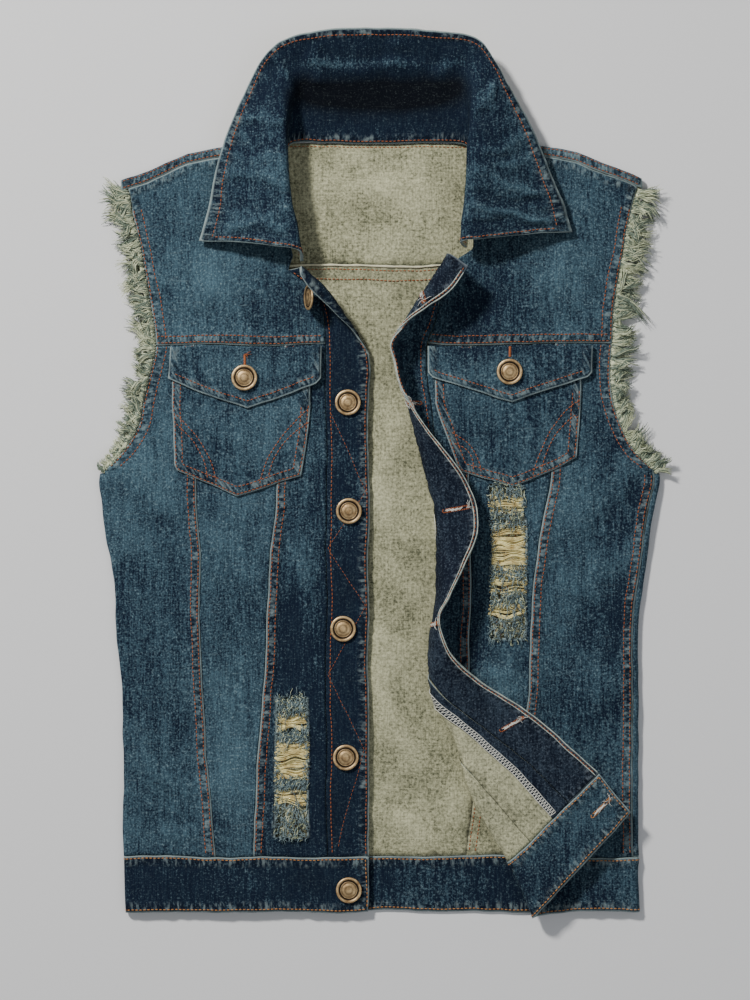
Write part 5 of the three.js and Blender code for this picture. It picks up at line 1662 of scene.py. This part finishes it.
def loose_ends(cloth, u, y, face, count, into):
    for _ in range(count):
        t = np.linspace(0, 1, 6)
        angle = random.uniform(0, 2 * math.pi)
        reach = random.uniform(2.5, 6.5)
        du = math.cos(angle) * reach * t + 0.6 * np.sin(t * 6 + angle)
        dy = math.sin(angle) * reach * t + 0.6 * np.cos(t * 5 + angle)
        line = cloth.skin(u + du, y + dy, face, 0.0)
        up = cloth.normal(np.array([u]), np.array([y]))[0] * face
        line = line + up * (0.3 + random.uniform(0.4, 1.8) * np.sin(math.pi * t) + 0.2 * t)[:, None]
        into.add(line, 0.2, up)


def buttonhole(cloth, u0, u1, y, face):
    """A slit held by a narrow loop of rust thread, with broken pale ends in it."""
    half_wide, turn = 1.25, np.linspace(0, math.pi, 7)
    u = np.concatenate([u1 + half_wide * np.sin(turn), u0 - half_wide * np.sin(turn), [u1]])
    v = np.concatenate([y + half_wide * np.cos(turn), y - half_wide * np.cos(turn), [y + half_wide]])
    for shift in (0.0, 0.5):
        stitch_line(cloth, u, v + shift, face, stitch=1.3, gap=0.25, radius=0.3, above=0.1)
    bar(cloth, u0 - 1.2, y, u0 + 0.9, y, face, 1.8)
    for k in range(16):
        place = u0 + (u1 - u0) * (0.25 + 0.6 * random.random())
        t = np.linspace(-1, 1, 5)
        along = place + t * random.uniform(1.2, 3.6)
        over = y + t * random.uniform(-1.4, 1.4) + random.uniform(-0.5, 0.5)
        line = cloth.skin(along, over, face, 0.0)
        up = cloth.normal(along[2:3], over[2:3])[0] * face
        WHITES.add(line + up * (0.35 + random.uniform(0, 0.7) * (1 - t**2))[:, None], 0.27, up)


WHITES = Threads("white_threads", WHITE, sides=4)
HOLE_ENDS = (11, 31)
HOLE_HEIGHTS = (138, 60.5, -29.5, -124.5, -230.5)
left_band = piece["placket_left"]
for cloth, heights in ((left_band, HOLE_HEIGHTS), (band, (-336,))):
    for y in heights:
        for face in (1, -1):
            buttonhole(cloth, *HOLE_ENDS, y, face)
            loose_ends(cloth, HOLE_ENDS[0] + 1, y, face, 5, WHITES)
for name, x, y in (("pocket_flap_right", -115.5, 90), ("pocket_flap_left", 102.5, 97)):
    flap = piece[name]
    (u0, u1), (d0, d1) = on_laid(flap, np.array([(x, y + 10.5), (x, y + 1)]))
    bar(flap, u0, d0, u1, d1, wide=0.95)
    loose_ends(flap, u0, d0 + 1, 1, 7, RUST)

OVERLOCK = Threads("overlock", WHITE, sides=4)
facing = piece["facing_left"]
OVER_IN, OVER_OUT = -2.8, 2.3  # from the raw edge to the turns of the zigzag


def overlock(cloth, u_at, top, low, face):
    """White loops back and forth over a raw edge."""
    y = np.arange(top, low, -1.25)
    u = u_at(y) + np.where(np.arange(len(y)) % 2, OVER_IN, OVER_OUT)
    for k in range(len(y) - 1):
        ends = np.linspace([u[k], y[k]], [u[k + 1], y[k + 1]], 5)
        up = cloth.normal(ends[2:3, 0], ends[2:3, 1])[0] * face
        line = cloth.skin(ends[:, 0], ends[:, 1], face, 0.0) + up * 0.3
        OVERLOCK.add(line, 0.3, up)
    for inset in (OVER_IN - 0.2, OVER_OUT + 0.2):
        path = np.stack([u_at(y) + inset, y], 1)
        line = cloth.skin(path[:, 0], path[:, 1], face, 0.0)
        up = cloth.normal(path[:, 0], path[:, 1]) * face
        OVERLOCK.add(line + up * 0.4, 0.28, up[len(up) // 2])


overlock(facing, lambda y: np.interp(y, *facing.ends[1]) - 2.4, -104, -311, -1)
overlock(piece["front_center_left"], lambda y: np.full_like(y, LEFT_INNER + 3.4), 56, -102, -1)

# %% [markdown]
# ## Buttons
# Tack buttons of antique copper: a rolled rim, a groove and a plain dome with
# a fine ring, all drawn out of one disc.

# %% The button and its copies
RIM_STEPS = [  # radius and height of each ring, mm
    (3.4, 0.0), (3.4, 1.0), (8.8, 1.0), (10.1, 1.25), (10.6, 1.8), (10.5, 2.4), (10.0, 2.75),
    (9.2, 2.85), (8.5, 2.6), (8.1, 2.1), (7.7, 1.9), (7.2, 1.95), (7.0, 2.2), (6.6, 2.3), (6.3, 2.15),
    (6.0, 2.1), (5.4, 2.3), (4.4, 2.62), (3.2, 2.85), (1.8, 3.02), (0.6, 3.08),
]
DARK_RINGS = (  # radii, and how dark the patina is there
    (0, 2.6, 3.2, 4.2, 5.6, 6.2, 6.6, 7.1, 7.9, 8.6, 9.2),
    (0.1, 0.15, 0.5, 0.1, 0.3, 0.7, 0.1, 0.75, 0.9, 0.3, 0),
)


def make_button():
    """One button, drawn up ring by ring from a disc, with its base at the origin."""
    deselect_all()
    first_r, first_z = RIM_STEPS[0]
    bpy.ops.mesh.primitive_circle_add(vertices=56, radius=first_r * MM, fill_type="NGON")
    made = bpy.context.object
    bpy.ops.object.mode_set(mode="EDIT")
    bpy.ops.mesh.select_all(action="SELECT")
    r, z = first_r, first_z
    for next_r, next_z in RIM_STEPS[1:]:
        bpy.ops.mesh.extrude_region_move(TRANSFORM_OT_translate={"value": (0, 0, (next_z - z) * MM)})
        bpy.ops.transform.resize(value=(next_r / r, next_r / r, 1))
        r, z = next_r, next_z
    bpy.ops.mesh.select_all(action="SELECT")
    bpy.ops.mesh.normals_make_consistent(inside=False)
    bpy.ops.object.mode_set(mode="OBJECT")
    bpy.ops.object.shade_smooth()
    made.data.materials.append(COPPER.material)
    radius = [math.hypot(v.co.x, v.co.y) / MM for v in made.data.vertices]
    dark = [float(np.interp(r, *DARK_RINGS)) for r in radius]
    made.data.attributes.new("groove", "FLOAT", "POINT").data.foreach_set("value", dark)
    return made


def put_button(source, node, base, normal, turn):
    made = source.copy()
    made.data = source.data.copy()
    made.name = node + "_metal"
    bpy.context.scene.collection.objects.link(made)
    tilt = Vector(normal).to_track_quat("Z", "Y").to_matrix().to_4x4()
    here = Matrix.Translation(Vector(base) * MM) @ tilt @ Matrix.Rotation(turn, 4, "Z")
    made.data.transform(here)
    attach(made, "root")
    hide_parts(node)


LIFT = 0.25  # of a button's base over the cloth
FRONT_BUTTONS = [(-31, 60.5), (-31, -29.5), (-35, -124.5), (-33.5, -230.5)]
source = make_button()
for k, (u, y) in enumerate(FRONT_BUTTONS):
    base = placket.skin(np.array([u]), np.array([y]), 1, LIFT)[0]
    put_button(source, f"front_button_{k + 2}", base, placket.normal(np.array([u]), np.array([y]))[0], k)
base = band.skin(np.array([band_end - 17.5]), np.array([-338.5]), 1, LIFT)[0]
put_button(source, "front_button_6", base, (0, 0, 1), 5)
# the top one hangs on the rolled band, nearly on its side
top = np.array([-61.5 + SHIFT[0], 146 + SHIFT[1], 19.5])
put_button(source, "front_button_1", top, (-0.94, 0, 0.34), 6)
for node, flap, x, y in (("flap_button_right", "pocket_flap_right", -116, 81.5),
                         ("flap_button_left", "pocket_flap_left", 102, 86)):
    (u,), (depth,) = on_laid(piece[flap], np.array([(x, y)]))
    base = piece[flap].skin(np.array([u]), np.array([depth]), 1, LIFT)[0]
    put_button(source, node, base, (0, 0, 1), 7)
bpy.data.objects.remove(source)

for threads in (RUST, RUST_BANDS, RUST_INSIDE, HEM_ROWS, WHITES, OVERLOCK):
    threads.build()
